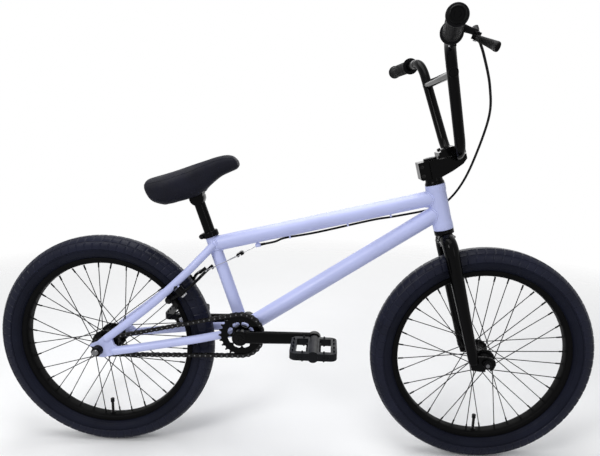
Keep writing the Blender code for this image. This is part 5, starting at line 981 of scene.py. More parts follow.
def make_grip(label, side):
    """A ribbed, flanged grip with a smooth band at each end, and its end plug."""
    end, radius, bore = bar_end(side), GRIP_DIAMETER / 2, BAR_DIAMETER / 2 + 0.0006
    inward = (bar_shoulder(side) - end).normalized()
    start, stop, ribs = 0.0105, GRIP_LENGTH - 0.0175, 30
    pitch = (stop - start) / ribs
    profile = [(0.0003, bore)]
    profile += mm(0, (0.3, 0.3), (1, 1.2), (1.8, 1.6), (3.4, 1.6), (4.3, 1.1), (5, 0.1), (7.2, 0),
                  (7.8, -0.7), (8.6, -0.7), (9.2, -0.1), over=radius)
    for rib in range(ribs):
        for share, sunk in ((0, 0.0011), (0.25, 0.0011), (0.42, 0), (0.8, 0)):
            profile.append((start + pitch * (rib + share), radius - sunk))
    profile += mm(stop, (0, -1.1), (0.8, -0.1), over=radius)
    profile += mm(GRIP_LENGTH, (-12.5, 0), (-6.2, 0.8), (-4.6, 3.1), (-4, 4.2), (-3.2, 4.5), (-1.2, 4.5),
                  (-0.3, 3.9), over=radius)
    profile.append((GRIP_LENGTH - 0.0003, bore))
    piece(f"grip_sleeve_{label}", "steering", [(GRIP, lathe(profile, 96, inward, end))],
          f"grip_{label}", 40)
    plug = mm(0, (-0.3, 0), (-0.3, 12.6), (-0.8, 13), (-2.6, 13), (-3.8, 12.4), (-4.4, 11.2), (-4.5, 9.8),
              (-3.7, 9.4), (-3.6, 5.2), (-4.2, 4.6), (-4.2, 0))
    piece(f"grip_end_cap_{label}", "steering",
          [(GLOSS, lathe(plug, 56, inward, end))], f"bar_end_plug_{label}", 40)


def make_perch():
    """The lever's clamp on the bar, with the arm to its pin, the cable's seat, and its bolts."""
    half, radius = 0.0065, 0.0165
    boss_top, boss_middle = PIN - PIN_AXIS * 0.0048, PIN - PIN_AXIS * 0.0073
    arm_root = CLAMP - PIN_AXIS * (CLAMP - boss_middle).dot(PIN_AXIS)
    first = arm_root + (boss_middle - arm_root).normalized() * 0.0125
    route = smooth_route([first, first.lerp(boss_middle, 0.5), boss_middle], 6)
    wide = smooth_numbers([0.0145, 0.0112, 0.0115], 6)
    tall = [0.0058 + 0.004 * (1 - step / (len(route) - 1)) for step in range(len(route))]
    seat = BARREL - CABLE_LEAVES * 0.008
    down = -(STEER_UP - INWARD * STEER_UP.dot(INWARD)).normalized()
    side = INWARD.cross(down)
    ear = CLAMP + down * (radius - 0.0005)
    forms = [
        lathe(sleeve(-half, half, 0.0113, radius, 0.001), 64, INWARD, CLAMP),
        lathe(disc(0, 0.005, 0.0065, 0.0006), 40, -PIN_AXIS, boss_top),
        sweep(route, wide, 24, PIN_AXIS, tall, 3.0),
        lathe(disc(0, 0.0077, 0.0055, 0.0006), 32, CABLE_LEAVES, seat),
        sweep([boss_middle, seat + CABLE_LEAVES * 0.003], 0.0085, 20, PIN_AXIS, [0.0046, 0.0066]),
        lathe(disc(-0.0055, 0.0055, 0.005, 0.0006), 28, side, ear),
    ]
    piece("lever_bracket", "steering", [(SATIN, *forms)], "lever_perch", 34)
    bolts = [socket_head(ear + side * 0.0052, side, 0.007, 0.0024),
             bar(PIN - PIN_AXIS * 0.011, PIN + PIN_AXIS * 0.0062, 0.005, 24),
             socket_head(PIN + PIN_AXIS * 0.0052, PIN_AXIS, 0.0066, 0.0016)]
    piece("lever_bracket_bolts", "steering", [(STEEL, *bolts)], angle=32)


def make_barrel():
    profile = mm(0, (0, 2.8), (0, 4.2))
    for ridge in range(4):
        profile += mm(ridge * 0.0013, (0.6, 4.5), (1.3, 4.1))
    profile += mm(0, (6, 4.2), (6.2, 3.6), (11.2, 3.6), (12, 3.1), (12, 2.8))
    adjuster = lathe(profile, 36, CABLE_LEAVES, BARREL)
    piece("cable_adjuster", "steering", [(SATIN, adjuster)], "barrel_adjuster", 25)


def make_lever():
    """The lever blade: slim at its hub, wider towards its end, with the tip bent a little to the grip."""
    length = (LEVER_LENGTH ** 2 + LEVER_FLARE ** 2) ** 0.5
    bows = ((0.06, 0), (0.25, 0.001), (0.5, -0.001), (0.75, -0.001), (0.92, 0.001), (1.0, 0.003))
    route = smooth_route([PIN + BLADE * (length * share) + REACH * bow for share, bow in bows], 8)
    tall = smooth_numbers([0.01, 0.011, 0.013, 0.015, 0.016, 0.013], 8)
    deep = smooth_numbers([0.009, 0.008, 0.0075, 0.0075, 0.009, 0.007], 8)
    tip = ((0.0, 1.0), (0.0012, 0.93), (0.0022, 0.75), (0.0028, 0.42))
    ends = [route[-1] + BLADE * (along - 0.0002) for along, _ in tip]
    forms = [
        sweep(route, tall, 40, PIN_AXIS, deep, 2.5),
        sweep(ends, [0.013 * size for _, size in tip], 40, PIN_AXIS, [0.007 * size for _, size in tip], 2.5),
        lathe(disc(-0.0045, 0.0045, 0.0075, 0.0007), 44, PIN_AXIS, PIN),
        sweep([PIN, route[0]], [0.0086, 0.01], 32, PIN_AXIS, [0.0125, 0.009], 2.5),
    ]
    piece("lever_blade", "brake_lever", [(RIM_BLACK, *forms)], "brake_lever", 34)


make_fork()
make_headset_cover()
make_stem()
make_stem_bolts()
make_handlebar()
for grip_label, grip_side in SIDES.items():
    make_grip(grip_label, grip_side)
make_perch()
make_barrel()
make_lever()


# Wheels
TREAD_BLOCKS = 78
TREAD_GROOVE = 0.0011
TREAD_REACH = 98.0
TREAD_ROWS = 5
TREAD_LEAN = 0.036
STEPS_PER_BLOCK = 10
TYRE_MIDDLE = 0.2335
TYRE_EDGE = 153.0
FLANGE_RADII = {"rear": 0.032, "front": 0.0255}
FLANGE_PLACES = {"rear": {"right": -0.022, "left": 0.028}, "front": {"right": -0.03, "left": 0.03}}


def tyre_section(turn, inset=0.0):
    """Distances out and from the axle, round the tyre's oval section. The crown is at 0 degrees."""
    c, s = np.cos(np.radians(turn)), np.sin(np.radians(turn))
    rise, power = TYRE_RADIUS - TYRE_MIDDLE - inset, 2 / 2.3
    out = (TYRE_HALF_WIDTH - inset) * np.sign(s) * np.abs(s) ** power
    return out, TYRE_MIDDLE + rise * np.sign(c) * np.abs(c) ** power


def tyre_form(hub):
    """A casing with rows of leaning blocks over its crown and shoulders, and which faces are tread."""
    block = 2 * TREAD_REACH / TREAD_ROWS
    shares = (0.0, 0.08, 0.13, 0.37, 0.63, 0.87, 0.92)
    tread = [block * (row + share) - TREAD_REACH for row in range(TREAD_ROWS) for share in shares]
    side = [TREAD_REACH + (TYRE_EDGE - TREAD_REACH) * (step / 14) ** 0.9 for step in range(15)]
    turns = np.array([-turn for turn in reversed(side)] + tread[1:] + side)
    out, radius = tyre_section(turns)
    inner_out, inner_radius = tyre_section(np.linspace(140, -140, 17), 0.004)
    lip, bead = RIM_HALF_WIDTH - RIM_WALL - GAP, [RIM_SEAT_RADIUS + GAP] * 2
    out = np.concatenate([out, [lip, lip - 0.0025], inner_out, [0.0025 - lip, -lip]])[:, None]
    radius = np.concatenate([radius, bead, inner_radius, bead])[:, None]
    turns = np.concatenate([turns, np.full(len(out) - len(turns), 180.0)])[:, None]
    around = TREAD_BLOCKS * STEPS_PER_BLOCK
    steps = np.arange(around)[None, :]
    share = (turns + TREAD_REACH) / block
    in_tread = np.abs(turns) <= TREAD_REACH + 0.01
    sunk = in_tread & ((np.abs(share - np.round(share)) < 0.09) | (steps % STEPS_PER_BLOCK == 0))
    out = out - TREAD_GROOVE * sunk * np.sin(np.radians(turns))
    radius = radius - TREAD_GROOVE * sunk * np.cos(np.radians(turns))
    spin = 2 * pi * steps / around + TREAD_LEAN * np.minimum(np.abs(turns) / TREAD_REACH, 1)
    grid = np.stack([radius * np.cos(spin) + hub.x, out, radius * np.sin(spin) + hub.z], axis=-1)
    return loft(grid.tolist(), closed=True), np.repeat(in_tread & np.roll(in_tread, -1), around).astype(int)


def sidewall_marks(hub):
    """Thin moulded ridges round each sidewall, over the bead and below the shoulder."""
    forms = []
    for side in (-1, 1):
        for turn in (128, 139, 98):
            out, radius = map(float, tyre_section(turn))
            turns = [2 * pi * step / 8 for step in range(8)]
            profile = [(side * (out - 0.0002 + 0.0006 * cos(t)), radius + 0.0007 * sin(t)) for t in turns]
            forms.append(lathe(profile, 192, Y_AXIS, hub))
    return forms


def rim_form(hub):
    half, bed = RIM_HALF_WIDTH, RIM_SEAT_RADIUS - 0.0015
    foot = ((0.25, 0), (0.55, 0.0003), (0.85, 0.0018))
    edge = [(half * share, RIM_INNER_RADIUS + rise) for share, rise in foot]
    edge += mm(half, (-0.4, 3.9), (0, 5.1), over=RIM_INNER_RADIUS)
    edge += mm(half, (0, -1.2), (-0.4, -0.3), (-1.1, 0), over=RIM_OUTER_RADIUS)
    edge += [(half - RIM_WALL, RIM_OUTER_RADIUS - 0.0004), (half - RIM_WALL, bed), (half * 0.5, bed - 0.001)]
    return lathe(mirrored(edge), 240, Y_AXIS, hub)


def make_valve(name, hub, body):
    foot = hub - Z_AXIS * (RIM_INNER_RADIUS - VALVE_LENGTH)
    stem = thread(foot, -Z_AXIS, VALVE_LENGTH - 0.003, 0.0066)
    nut = lathe(disc(0, 0.0024, 0.0062), 12, Z_AXIS, hub - Z_AXIS * RIM_INNER_RADIUS)
    cap = mm(0, (0, 0), (0, 3), (1.2, 4.2), (1.6, 4.6), (10, 4.7), (10.6, 4), (10.6, 0))
    piece(f"{name}_valve", body,
          [(DARK_STEEL, stem, nut), (PLASTIC, lathe(cap, 24, Z_AXIS, foot - Z_AXIS * 0.003))],
          f"{name}_inner_tube", 40)


def spoke_forms(hub, side, flange_y, flange_radius):
    """Eighteen spokes, three cross: each with its head at the flange, its bend and its nipple."""
    spokes, nipples = [], []
    turn_step = 2 * pi / SPOKES_PER_SIDE
    first_turn = turn_step * (0.25 if side < 0 else 0.75)
    nipple = mm(0, (0, 0), (0, 1.4), (0.8, 1.9), (11, 2), (12.5, 2.4), (12.5, 0))
    for way in (1, -1):
        outer = Y_AXIS * side * way
        for spoke in range(SPOKES_PER_SIDE // 2):
            turn = turn_step * (2 * spoke + (0 if way > 0 else 1)) + first_turn
            hole = hub + polar(flange_radius - 0.0035, turn) + Y_AXIS * flange_y
            start = hole + outer * (FLANGE_WALL / 2 + SPOKE_DIAMETER / 2 + 0.0002)
            end = hub + polar(RIM_INNER_RADIUS - 0.0005, turn + way * 3 * turn_step) + Y_AXIS * side * 0.003
            along, seat = (end - start).normalized(), hole - outer * (FLANGE_WALL / 2)
            bend = [seat, start - outer * 0.0006, start + along * 0.0012, end - along * 0.012]
            spokes.append(sweep(bend, SPOKE_DIAMETER, 8))
            spokes.append(lathe(disc(0, 0.0012, 0.0019, 0.0005), 10, -outer, seat))
            nipples.append(lathe(nipple, 8, along, end - along * 0.0135))
    return spokes + nipples


def make_wheel(name, hub):
    body, rubber_slot = f"{name}_wheel", "tyre_rubber"
    form, highlit_tread_faces = tyre_form(hub)
    casing = piece(f"{name}_tyre_casing", body, [(TYRE, form)], f"{name}_tyre")
    # The tread faces take the lighter tread look: a painted highlight.
    casing.data.materials.append(HIGHLIT_TREAD)
    casing.data.polygons.foreach_set("material_index", highlit_tread_faces)
    piece(f"{name}_sidewall_ridges", body, [(TYRE, *sidewall_marks(hub))])
    piece(f"{name}_wheel_rim", body, [(RIM_BLACK, rim_form(hub))], f"{name}_rim")
    make_valve(name, hub, body)
    for label, side in SIDES.items():
        wires = spoke_forms(hub, side, FLANGE_PLACES[name][label], FLANGE_RADII[name])
        piece(f"{name}_laced_spokes_{label}", body, [(SPOKE_BLACK, *wires)],
              f"{name}_spokes_{label}", 40)


def make_hub(name, hub, profile):
    """A hub shell between two flanges."""
    wall, radius = FLANGE_WALL / 2, FLANGE_RADII[name]
    flanges = [lathe(sleeve(out - wall, out + wall, radius * 0.55, radius, 0.0008), 72, Y_AXIS, hub)
               for out in FLANGE_PLACES[name].values()]
    piece(f"{name}_hub_body", f"{name}_wheel",
          [(SATIN, *flanges, lathe(profile, 72, Y_AXIS, hub))], f"{name}_hub_shell")


def make_hubs():
    make_hub("rear", REAR_HUB, mm(0, (-23.4, 7.3), (-23.4, 20), (-20.2, 25.5), (-17.5, 23.7), (-14, 23.2),
                                  (20, 23.2), (23.5, 23.7), (26.2, 25.5), (29.4, 20), (31.5, 19.8), (34, 17),
                                  (43.5, 14.6), (48.8, 14.6), (49, 14.3), (49, 7.3)))
    make_hub("front", FRONT_HUB, mirrored(mm(0, (13, 14.8), (21.5, 16), (25.5, 19), (28.2, 20.5), (31.4, 17),
                                             (33.5, 16), (35, 12.6), (43.8, 12.3), (44, 12), (44, 5.3))))


def make_axle(name, hub, body, length, diameter, spacing, dropout_wall, collars, nut_width, nut_height):
    """A threaded axle with its collars, and a washer and nut outside each dropout."""
    half, washer_wall = spacing / 2, 0.0022
    forms = [bar(hub - Y_AXIS * half, hub + Y_AXIS * half, diameter, 32)]
    for side, collar in zip((-1, 1), collars):
        low, high = between(side, half - GAP - collar, half - GAP)
        profile = sleeve(low, high, diameter / 2 - 0.0003, diameter / 2 + 0.004, 0.0005)
        forms.append(lathe(profile, 40, Y_AXIS, hub))
    for label, side in SIDES.items():
        out = Y_AXIS * side
        start = half - 0.001
        forms.append(thread(hub + out * start, out, length / 2 - start, diameter, 0.00125, 32))
        face = hub + out * (half + dropout_wall + GAP)
        washer = lathe(disc(0, washer_wall, nut_width / 2 * 1.13, 0.0004), 48, out, face)
        nut = hex_nut(face + out * washer_wall, out, nut_width, nut_height - washer_wall, 48)
        piece(f"{name}_wheel_nut_{label}", body, [(SATIN, nut), (DARK_STEEL, washer)],
              f"{name}_axle_nut_{label}", 28, 0.0003)
    piece(f"{name}_wheel_axle", body, [(ROLLER, *forms)], f"{name}_axle")


# Drive train
def toothed_wheel(teeth, centre, place):
    """A chain wheel's plate: round gaps for the rollers, with blunt teeth between."""
    radius = CHAIN_PITCH / (2 * sin(pi / teeth))
    phase = middle_turn(CHAIN, centre, radius)
    gap, tip = CHAIN_ROLLER_DIAMETER / 2 + GAP, radius + CHAIN_ROLLER_DIAMETER * 0.28
    half = 0.0011 / tip
    outline = []
    for tooth in range(teeth):
        turn = phase + 2 * pi * tooth / teeth
        spots = [polar(radius, turn) + polar(gap, turn + pi - radians(24 * step - 72)) for step in range(7)]
        for lean, sunk in ((-1.3, 0.0005), (-0.6, 0), (0.6, 0), (1.3, 0.0005)):
            spots.append(polar(tip - sunk, turn + pi / teeth + half * lean))
        outline += [(spot.x, spot.z) for spot in spots]
    return plate(outline, -SPROCKET_WALL / 2, SPROCKET_WALL / 2, place)


def make_sprocket():
    place = Matrix.Translation(BB + Y_AXIS * CHAIN_LINE_Y)
    windows, count = [lathe(disc(-0.01, 0.01, 0.0098), 40, Y_AXIS, place.translation)], 8
    slot = arc((0.0036, 0), 0.0053, -90, 90, 12) + arc((-0.0036, 0), 0.0053, 90, 270, 12)
    for window in range(count):
        turn = 2 * pi * (window + 0.5) / count + radians(CRANK_ANGLE)
        spin = Matrix.Rotation(pi / 2 - turn, 4, "Y")
        windows.append(plate(slot, -0.01, 0.01, place @ spin @ Matrix.Translation((0, 0, 0.027))))
    piece("chain_wheel", "crank", [(GLOSS, toothed_wheel(SPROCKET_TEETH, BB, place))],
          "sprocket", 32, 0.0003, [merge(*windows)])


def make_driver():
    place, radius = Matrix.Translation(REAR_HUB + Y_AXIS * CHAIN_LINE_Y), DRIVER_RADIUS - 0.0063
    body = lathe(sleeve(-0.051, -0.0243, 0.0074, radius, 0.0007), 48, Y_AXIS, REAR_HUB)
    end = lathe(sleeve(-0.052, -0.0505, 0.0074, radius - 0.0022, 0.0004), 48, Y_AXIS, REAR_HUB)
    piece("nine_tooth_driver", "driver",
          [(MACHINED, toothed_wheel(DRIVER_TEETH, REAR_HUB, place), body, end)], "rear_driver", 28)


def make_chain():
    """Inner and outer links in turn, with rollers on the pins and riveted pin ends."""
    plates, pins = [], []
    half, end, waist = CHAIN_PITCH / 2, 0.0048, 0.0036
    outline = arc((half, 0), end, -110, 110, 5) + [(0, waist)]
    outline += arc((-half, 0), end, 70, 290, 5) + [(0, -waist)]
    wall, inner = 0.0011, 0.0018
    for step, (place, after) in enumerate(zip(CHAIN, CHAIN[1:] + CHAIN[:1])):
        along = (after - place).normalized()
        matrix = placed((place + after) / 2 + Y_AXIS * CHAIN_LINE_Y, along, along.cross(Y_AXIS))
        offset = inner if step % 2 else inner + wall + 0.0001
        plates += [plate(outline, *between(side, offset, offset + wall), matrix) for side in (-1, 1)]
        at = place + Y_AXIS * CHAIN_LINE_Y
        pins.append(lathe(disc(-0.0043, 0.0043, 0.0019, 0.0005), 10, Y_AXIS, at))
        pins.append(lathe(disc(-inner, inner, CHAIN_ROLLER_DIAMETER / 2, 0.0003), 14, Y_AXIS, at))
    piece("roller_chain", "frame_body", [(DARK_STEEL, *plates), (ROLLER, *pins)], "chain")


def make_crank(label, side):
    """A crank arm between its boss and its end, with the spindle's bolt and the pedal's axle."""
    outer, last = Y_AXIS * side, 20
    shares = [0.056 + 0.906 * step / last for step in range(last + 1)]
    run = CRANK_END_Y - CRANK_BOSS_Y
    route = [crank_point(CRANK_BOSS_Y + run * share, CRANK_LENGTH * share, side) for share in shares]
    wide = [CRANK_ARM_DEPTH * (1 - 0.15 * share) for share in shares]
    tall = [CRANK_ARM_HEIGHT * (1 - 0.1 * share) for share in shares]
    half, end_half = CRANK_BOSS_WALL / 2, CRANK_ARM_DEPTH / 2 - 0.001
    boss_at, end_at = crank_point(CRANK_BOSS_Y, 0, side), crank_point(CRANK_END_Y, CRANK_LENGTH, side)
    arm = [sweep(route, wide, 48, Y_AXIS, tall, 2.5),
           lathe(sleeve(-half, half, 0.0098, 0.018, 0.001), 72, Y_AXIS, boss_at),
           lathe(sleeve(-end_half, end_half, 0.007, CRANK_ARM_HEIGHT / 2, 0.0012), 72, Y_AXIS, end_at)]
    piece(f"crank_tube_{label}", "crank", [(GLOSS, *arm)], f"crank_arm_{label}", 32)
    face = boss_at + outer * half
    bolt = [lathe(disc(-0.002, 0.0008, 0.0136, 0.0004), 48, outer, face),
            socket_head(face + outer * 0.0006, outer, 0.017, 0.003, 0.62, 40)]
    piece(f"crank_bolt_{label}", "crank", [(MACHINED, *bolt)])
    profile = mm(CRANK_END_Y - CRANK_ARM_DEPTH / 2 + 0.001, (0, 0), (0, 6.6), (0.6, 7.25))
    profile += mm(0, (71.6, 7.25), (72.2, 7.9), (75.3, 7.9), (75.5, 5.5), (79, 5.2), (168, 5.2), (168, 0))
    axle = lathe(profile, 48, outer, crank_point(0, CRANK_LENGTH, side))
    piece(f"pedal_spindle_{label}", "crank", [(STEEL, axle)], f"pedal_axle_{label}")


def make_spindle():
    half = CRANK_BOSS_Y + CRANK_BOSS_WALL / 2 - 0.001
    axle = lathe(disc(-half, half, 0.0095, 0.0005), 56, Y_AXIS, BB)
    piece("crank_axle", "crank", [(MACHINED, axle)], "crank_spindle")


def pedal_outline(long, wide, corner):
    """A rectangle with round corners, as it is seen from above."""
    outline = []
    for ahead, out, start in ((1, 1, 0), (-1, 1, 90), (-1, -1, 180), (1, -1, 270)):
        outline += arc((ahead * (long - corner), out * (wide - corner)), corner * 0.86, start, start + 90, 6)
    return [(max(min(x * 1.045, long), -long), max(min(y * 1.05, wide), -wide)) for x, y in outline]


def make_pedal(label, side):
    """A moulded platform: a bevelled cage with webs and pins round the axle housing."""
    centre = crank_point(PEDAL_INNER_Y + PEDAL_WIDTH / 2, CRANK_LENGTH, side)
    place = Matrix.Translation(centre)
    long, wide, tall = PEDAL_DEPTH / 2, PEDAL_WIDTH / 2, PEDAL_HEIGHT / 2
    corner, rail, hub, body = 0.016, 0.013, 0.0125, f"pedal_{label}"
    pin_places = ((long - rail / 2, wide - corner), (long - rail / 2, 0.0103), (0.0225, wide - rail / 2))
    cuts, webs, spots = [], [], []
    for ahead in (-1, 1):
        low, high = between(ahead, hub, long - rail)
        cuts.append(box((low, rail - wide, -0.03), (high, wide - rail, 0.03), place))
        low, high = between(ahead, long - 0.0028, long + 0.01)
        for at in (-0.026, 0, 0.026):
            cuts.append(box((low, at - 0.009, -0.0042), (high, at + 0.009, 0.0042), place))
        low, high = between(ahead, 0.01, 0.016)
        for at in (-0.032, -0.0115, 0.0115, 0.032):
            webs.append(box((low, at - 0.0012, -0.0062), (high, at + 0.0012, 0.0062), place))
        for out in (-1, 1):
            spots += [(ahead * x, out * y) for x, y in pin_places]
    for out in (-1, 1):
        low, high = between(out, wide - 0.0024, wide + 0.01)
        for at in (-0.0275, 0.0275):
            cuts.append(box((at - 0.006, low, -0.004), (at + 0.006, high, 0.004), place))
    cage = plate(pedal_outline(long, wide, corner), -tall, tall, place @ Matrix.Rotation(pi / 2, 4, "X"))
    piece(f"pedal_platform_{label}", body, [(PLASTIC, cage)], f"pedal_body_{label}",
          32, 0.0012, [merge(*cuts)])
    tube = lathe(sleeve(-wide, wide, 0.0056, 0.0122, 0.0008), 56, Y_AXIS, centre)
    end_cap = lathe(disc(wide - 0.004, wide + 0.0006, 0.0098, 0.0005), 40, Y_AXIS * side, centre)
    pins = []
    for x, y in spots:
        for up in (-1, 1):
            root, tip = Vector((x, y, up * (tall - 0.001))), Vector((x, y, up * (tall + 0.0035)))
            pins.append(bar(place @ root, place @ tip, 0.004, 14, 0.0034))
    piece(f"pedal_housing_{label}", body, [(PLASTIC, tube, end_cap, *webs, *pins)])


make_wheel("rear", REAR_HUB)
make_wheel("front", FRONT_HUB)
make_hubs()
make_axle("rear", REAR_HUB, "frame_body", 0.164, 0.014, REAR_DROPOUT_SPACING, DROPOUT_WALL, (0.0034, 0.0054),
          0.021, 0.016)
make_axle("front", FRONT_HUB, "steering", 0.131, 0.01, FRONT_DROPOUT_SPACING, FORK_DROPOUT_WALL,
          (0.0054, 0.0054), 0.017, 0.01)
make_sprocket()
make_driver()
make_chain()
for crank_label, crank_side in SIDES.items():
    make_crank(crank_label, crank_side)
make_spindle()
for pedal_label, pedal_side in SIDES.items():
    make_pedal(pedal_label, pedal_side)


# Brake
def arm_level(side):
    """How far forward an arm's middle lies above its pivot, where the arms cross."""
    middle = BRAKE_ARM_FRONT + BRAKE_ARM_WALL / 2
    return middle if side < 0 else middle - BRAKE_ARM_WALL - 0.0015


def pad_matrix(side):
    radius, out = RIM_OUTER_RADIUS - 0.00625, side * (RIM_HALF_WIDTH + 0.0077)
    centre = brake_point(PAD_FRONT, out, (radius ** 2 - PAD_FRONT ** 2) ** 0.5)
    outward = (centre - REAR_HUB - Y_AXIS * out).normalized()
    return placed(centre, Y_AXIS.cross(outward), outward)


def make_brake_arm(label, side):
    level, front = arm_level(side), BRAKE_ARM_FRONT + BRAKE_ARM_WALL
    eye = pad_matrix(side).translation
    eye = Vector((eye.x, side * (RIM_HALF_WIDTH + 0.0222), eye.z))
    lower = (BRAKE_PIVOT_UP + BRAKE_PAD_UP) / 2
    horn = brake_point(level, -side * BRAKE_HORN_Y, BRAKE_HORN_UP)
    route = [
        eye,
        brake_point((PAD_FRONT + front - 0.006) / 2, side * (BRAKE_PIVOT_Y - 0.004), lower),
        brake_point(front - 0.006, side * BRAKE_PIVOT_Y, BRAKE_PIVOT_UP),
        brake_point(level, side * (BRAKE_PIVOT_Y - 0.002), BRAKE_PIVOT_UP + 0.022),
        brake_point(level, side * 0.024, BRAKE_HORN_UP - 0.029),
        brake_point(level, 0, BRAKE_HORN_UP - 0.02),
        brake_point(level, -side * 0.016, BRAKE_HORN_UP - 0.012),
        horn,
    ]
    wide = smooth_numbers([0.012, 0.013, 0.016, 0.014, 0.012, 0.011, 0.0105, 0.009], 7)
    pivot = brake_point(0, side * BRAKE_PIVOT_Y, BRAKE_PIVOT_UP)
    boss, half = BRAKE_BOSS_FRONT, BRAKE_ARM_WALL / 2
    forms = [
        sweep(smooth_route(route, 7), BRAKE_ARM_WALL, 32, BRAKE_FRONT, wide, 3.2),
        lathe(sleeve(boss + GAP, front, 0.004, 0.0105, 0.0009), 56, BRAKE_FRONT, pivot),
        lathe(sleeve(boss + 0.0012, boss + 0.0046, 0.006, 0.0113, 0.0005), 56, BRAKE_FRONT, pivot),
        lathe(sleeve(-0.0055, 0.0055, 0.0033, 0.0085, 0.0008), 48, Y_AXIS, eye),
        lathe(disc(-half, half, 0.0052, 0.0007), 36, BRAKE_FRONT, horn),
    ]
    piece(f"caliper_arm_{label}", f"brake_arm_{label}", [(SATIN, *forms)],
          f"brake_arm_{label}", 34)


def make_brake_shoe(label, side):
    """A pad in its holder, with its threaded stud, washer and nut."""
    place, outer, long, half = pad_matrix(side), Y_AXIS * side, 0.025, 0.0055
    rings = []
    for share, inset, shrink in ((-1, 0, 0.8), (-1, 0.0012, 0.94), (-1, 0.003, 1.0), (1, 0.003, 1.0),
                                 (1, 0.0012, 0.94), (1, 0, 0.8)):
        at, size = X_AXIS * (share * (long - inset)), half * shrink
        rings.append([place @ point for point in ring(at, Y_AXIS, Z_AXIS, size, size, 40, 5.0)])
    low, high = between(side, 0.0036, 0.0056)
    holder = box((-0.0135, low, -0.0046), (0.0135, high, 0.0046), place)
    centre = place.translation
    stud = [thread(centre + outer * 0.004, outer, 0.02, 0.006, count=24),
            lathe(sleeve(0.0092, 0.0112, 0.003, 0.0078, 0.0004), 40, outer, centre),
            hex_nut(centre + outer * 0.0203, outer, 0.0098, 0.0033)]
    piece(f"brake_shoe_{label}", f"brake_arm_{label}",
          [(PAD, loft(rings)), (SATIN, holder), (DARK_STEEL, *stud)], f"brake_pad_{label}")


def make_brake_pivot(label, side):
    """An arm's pivot bolt, and the spring that is coiled round its boss."""
    front, pivot = BRAKE_ARM_FRONT + BRAKE_ARM_WALL, brake_point(0, side * BRAKE_PIVOT_Y, BRAKE_PIVOT_UP)
    bolt = socket_head(pivot + BRAKE_FRONT * (front + GAP), BRAKE_FRONT, 0.015, 0.004, 0.52, 40)
    shank = bar(pivot + BRAKE_FRONT * 0.006, pivot + BRAKE_FRONT * (front + 0.0005), 0.0072, 24)
    piece(f"caliper_bolt_{label}", "frame_body", [(STEEL, bolt, shank)],
          f"brake_pivot_bolt_{label}")
    coil, last = [], 63
    for step in range(last + 1):
        round_boss = polar(0.0091, 2 * pi * step / 16)
        ahead = BRAKE_FRONT * (BRAKE_BOSS_FRONT - 0.0078 + 0.0065 * step / last)
        coil.append(pivot + ahead + Y_AXIS * round_boss.x + BRAKE_UP * round_boss.z)
    piece(f"return_spring_{label}", "frame_body",
          [(DARK_STEEL, sweep(coil, 0.0016, 8, BRAKE_FRONT))], angle=50)


def make_yoke_and_wires():
    up, clear = WIRE_FORWARD.cross(Y_AXIS), WIRE_DIAMETER / 2 + GAP
    place = placed(YOKE_PLACE, WIRE_FORWARD, up)
    outline = [(-0.005, clear), (0.0105, clear), (0.012, clear + 0.0012), (0.012, clear + 0.003),
               (0.0105, clear + 0.004), (-0.0035, clear + 0.004), (-0.005, clear + 0.0028)]
    hanger = [plate(outline, -0.007, 0.007, place),
              box((-0.0045, -0.006, -0.003), (-clear, 0.006, clear + 0.001), place),
              box((0.004, -0.004, -0.003), (0.0115, 0.004, clear + 0.001), place)]
    bolt = socket_head(place @ Vector((0.0078, 0, clear + 0.0038)), up, 0.0066, 0.0022)
    wire_end = CABLE_STOP - WIRE_FORWARD * GAP
    wire = bar(YOKE_PLACE + WIRE_FORWARD * 0.006, wire_end, WIRE_DIAMETER, 16)
    piece("cable_hanger", "yoke", [(SATIN, *hanger), (STEEL, bolt, wire)], "straddle_yoke")
    ahead = clear + BRAKE_ARM_WALL / 2
    horns = [brake_point(arm_level(side) + ahead, -side * BRAKE_HORN_Y, BRAKE_HORN_UP) for side in (-1, 1)]
    route = [horns[0], *[YOKE_PLACE + Y_AXIS * (0.003 * step) for step in (3, 2, 1, 0, -1, -2, -3)], horns[1]]
    heads = [lathe(disc(-0.0005, 0.003, 0.003, 0.0005), 24, BRAKE_FRONT, horn) for horn in horns]
    piece("straddle_cable", "yoke", [(STEEL, sweep(route, WIRE_DIAMETER, 14), *heads)],
          "straddle_wire", 40)


def make_brake_cable():
    """The housing with its ferrules, bent between the steering and the frame."""
    lever_end = BARREL + CABLE_LEAVES * (BARREL_LENGTH + GAP)
    head, clear, under = STEER_FOOT + STEER_UP * (HEAD_FOOT + 0.0624), 0.02625, 0.0203
    loop_end = head + Vector((1.533, -0.533, 1.371)) * clear
    span = (loop_end - lever_end).length
    bows = ((0.1107, (0.044, 0.0002, 0.0059)), (0.3052, (0.1025, 0.0125, 0.0218)),
            (0.5225, (0.1292, 0.0328, 0.039)), (0.804, (0.0623, -0.0027, 0.0063)))
    past_head = ((0.75, 0.8, -0.152), (-0.12, 1.1, -0.686), (-1.25, 1.0, -0.99), (-2.25, 0.6, -1.143))
    sags = ((0.7884, 0.003), (0.7, 0.001), (0.46, 0.0025), (0.32, 0))
    route = [lever_end] + [lever_end.lerp(loop_end, share) + Vector(bow) * span for share, bow in bows]
    route += [loop_end] + [head + Vector(place) * clear for place in past_head]
    route += [along_top_tube(TOP_TUBE_RUN * share, under + sag) for share, sag in sags]
    route += [CABLE_STOP + TOP_TUBE_FORWARD * ahead for ahead in (0.04, 0.006 + GAP)]
    smooth = smooth_route(route, 14)
    ferrules = []
    for end, following in ((smooth[0], smooth[1]), (smooth[-1], smooth[-2])):
        ferrules.append(lathe(disc(0.0001, 0.0105, 0.003, 0.0004), 28, (following - end).normalized(), end))
    bend = ("steering", "frame_body", lever_end, head + X_AXIS * clear)
    piece("cable_housing", bend,
          [(HOUSING, sweep(smooth, CABLE_DIAMETER, 20)), (SATIN, *ferrules)], "brake_cable_housing", 40)


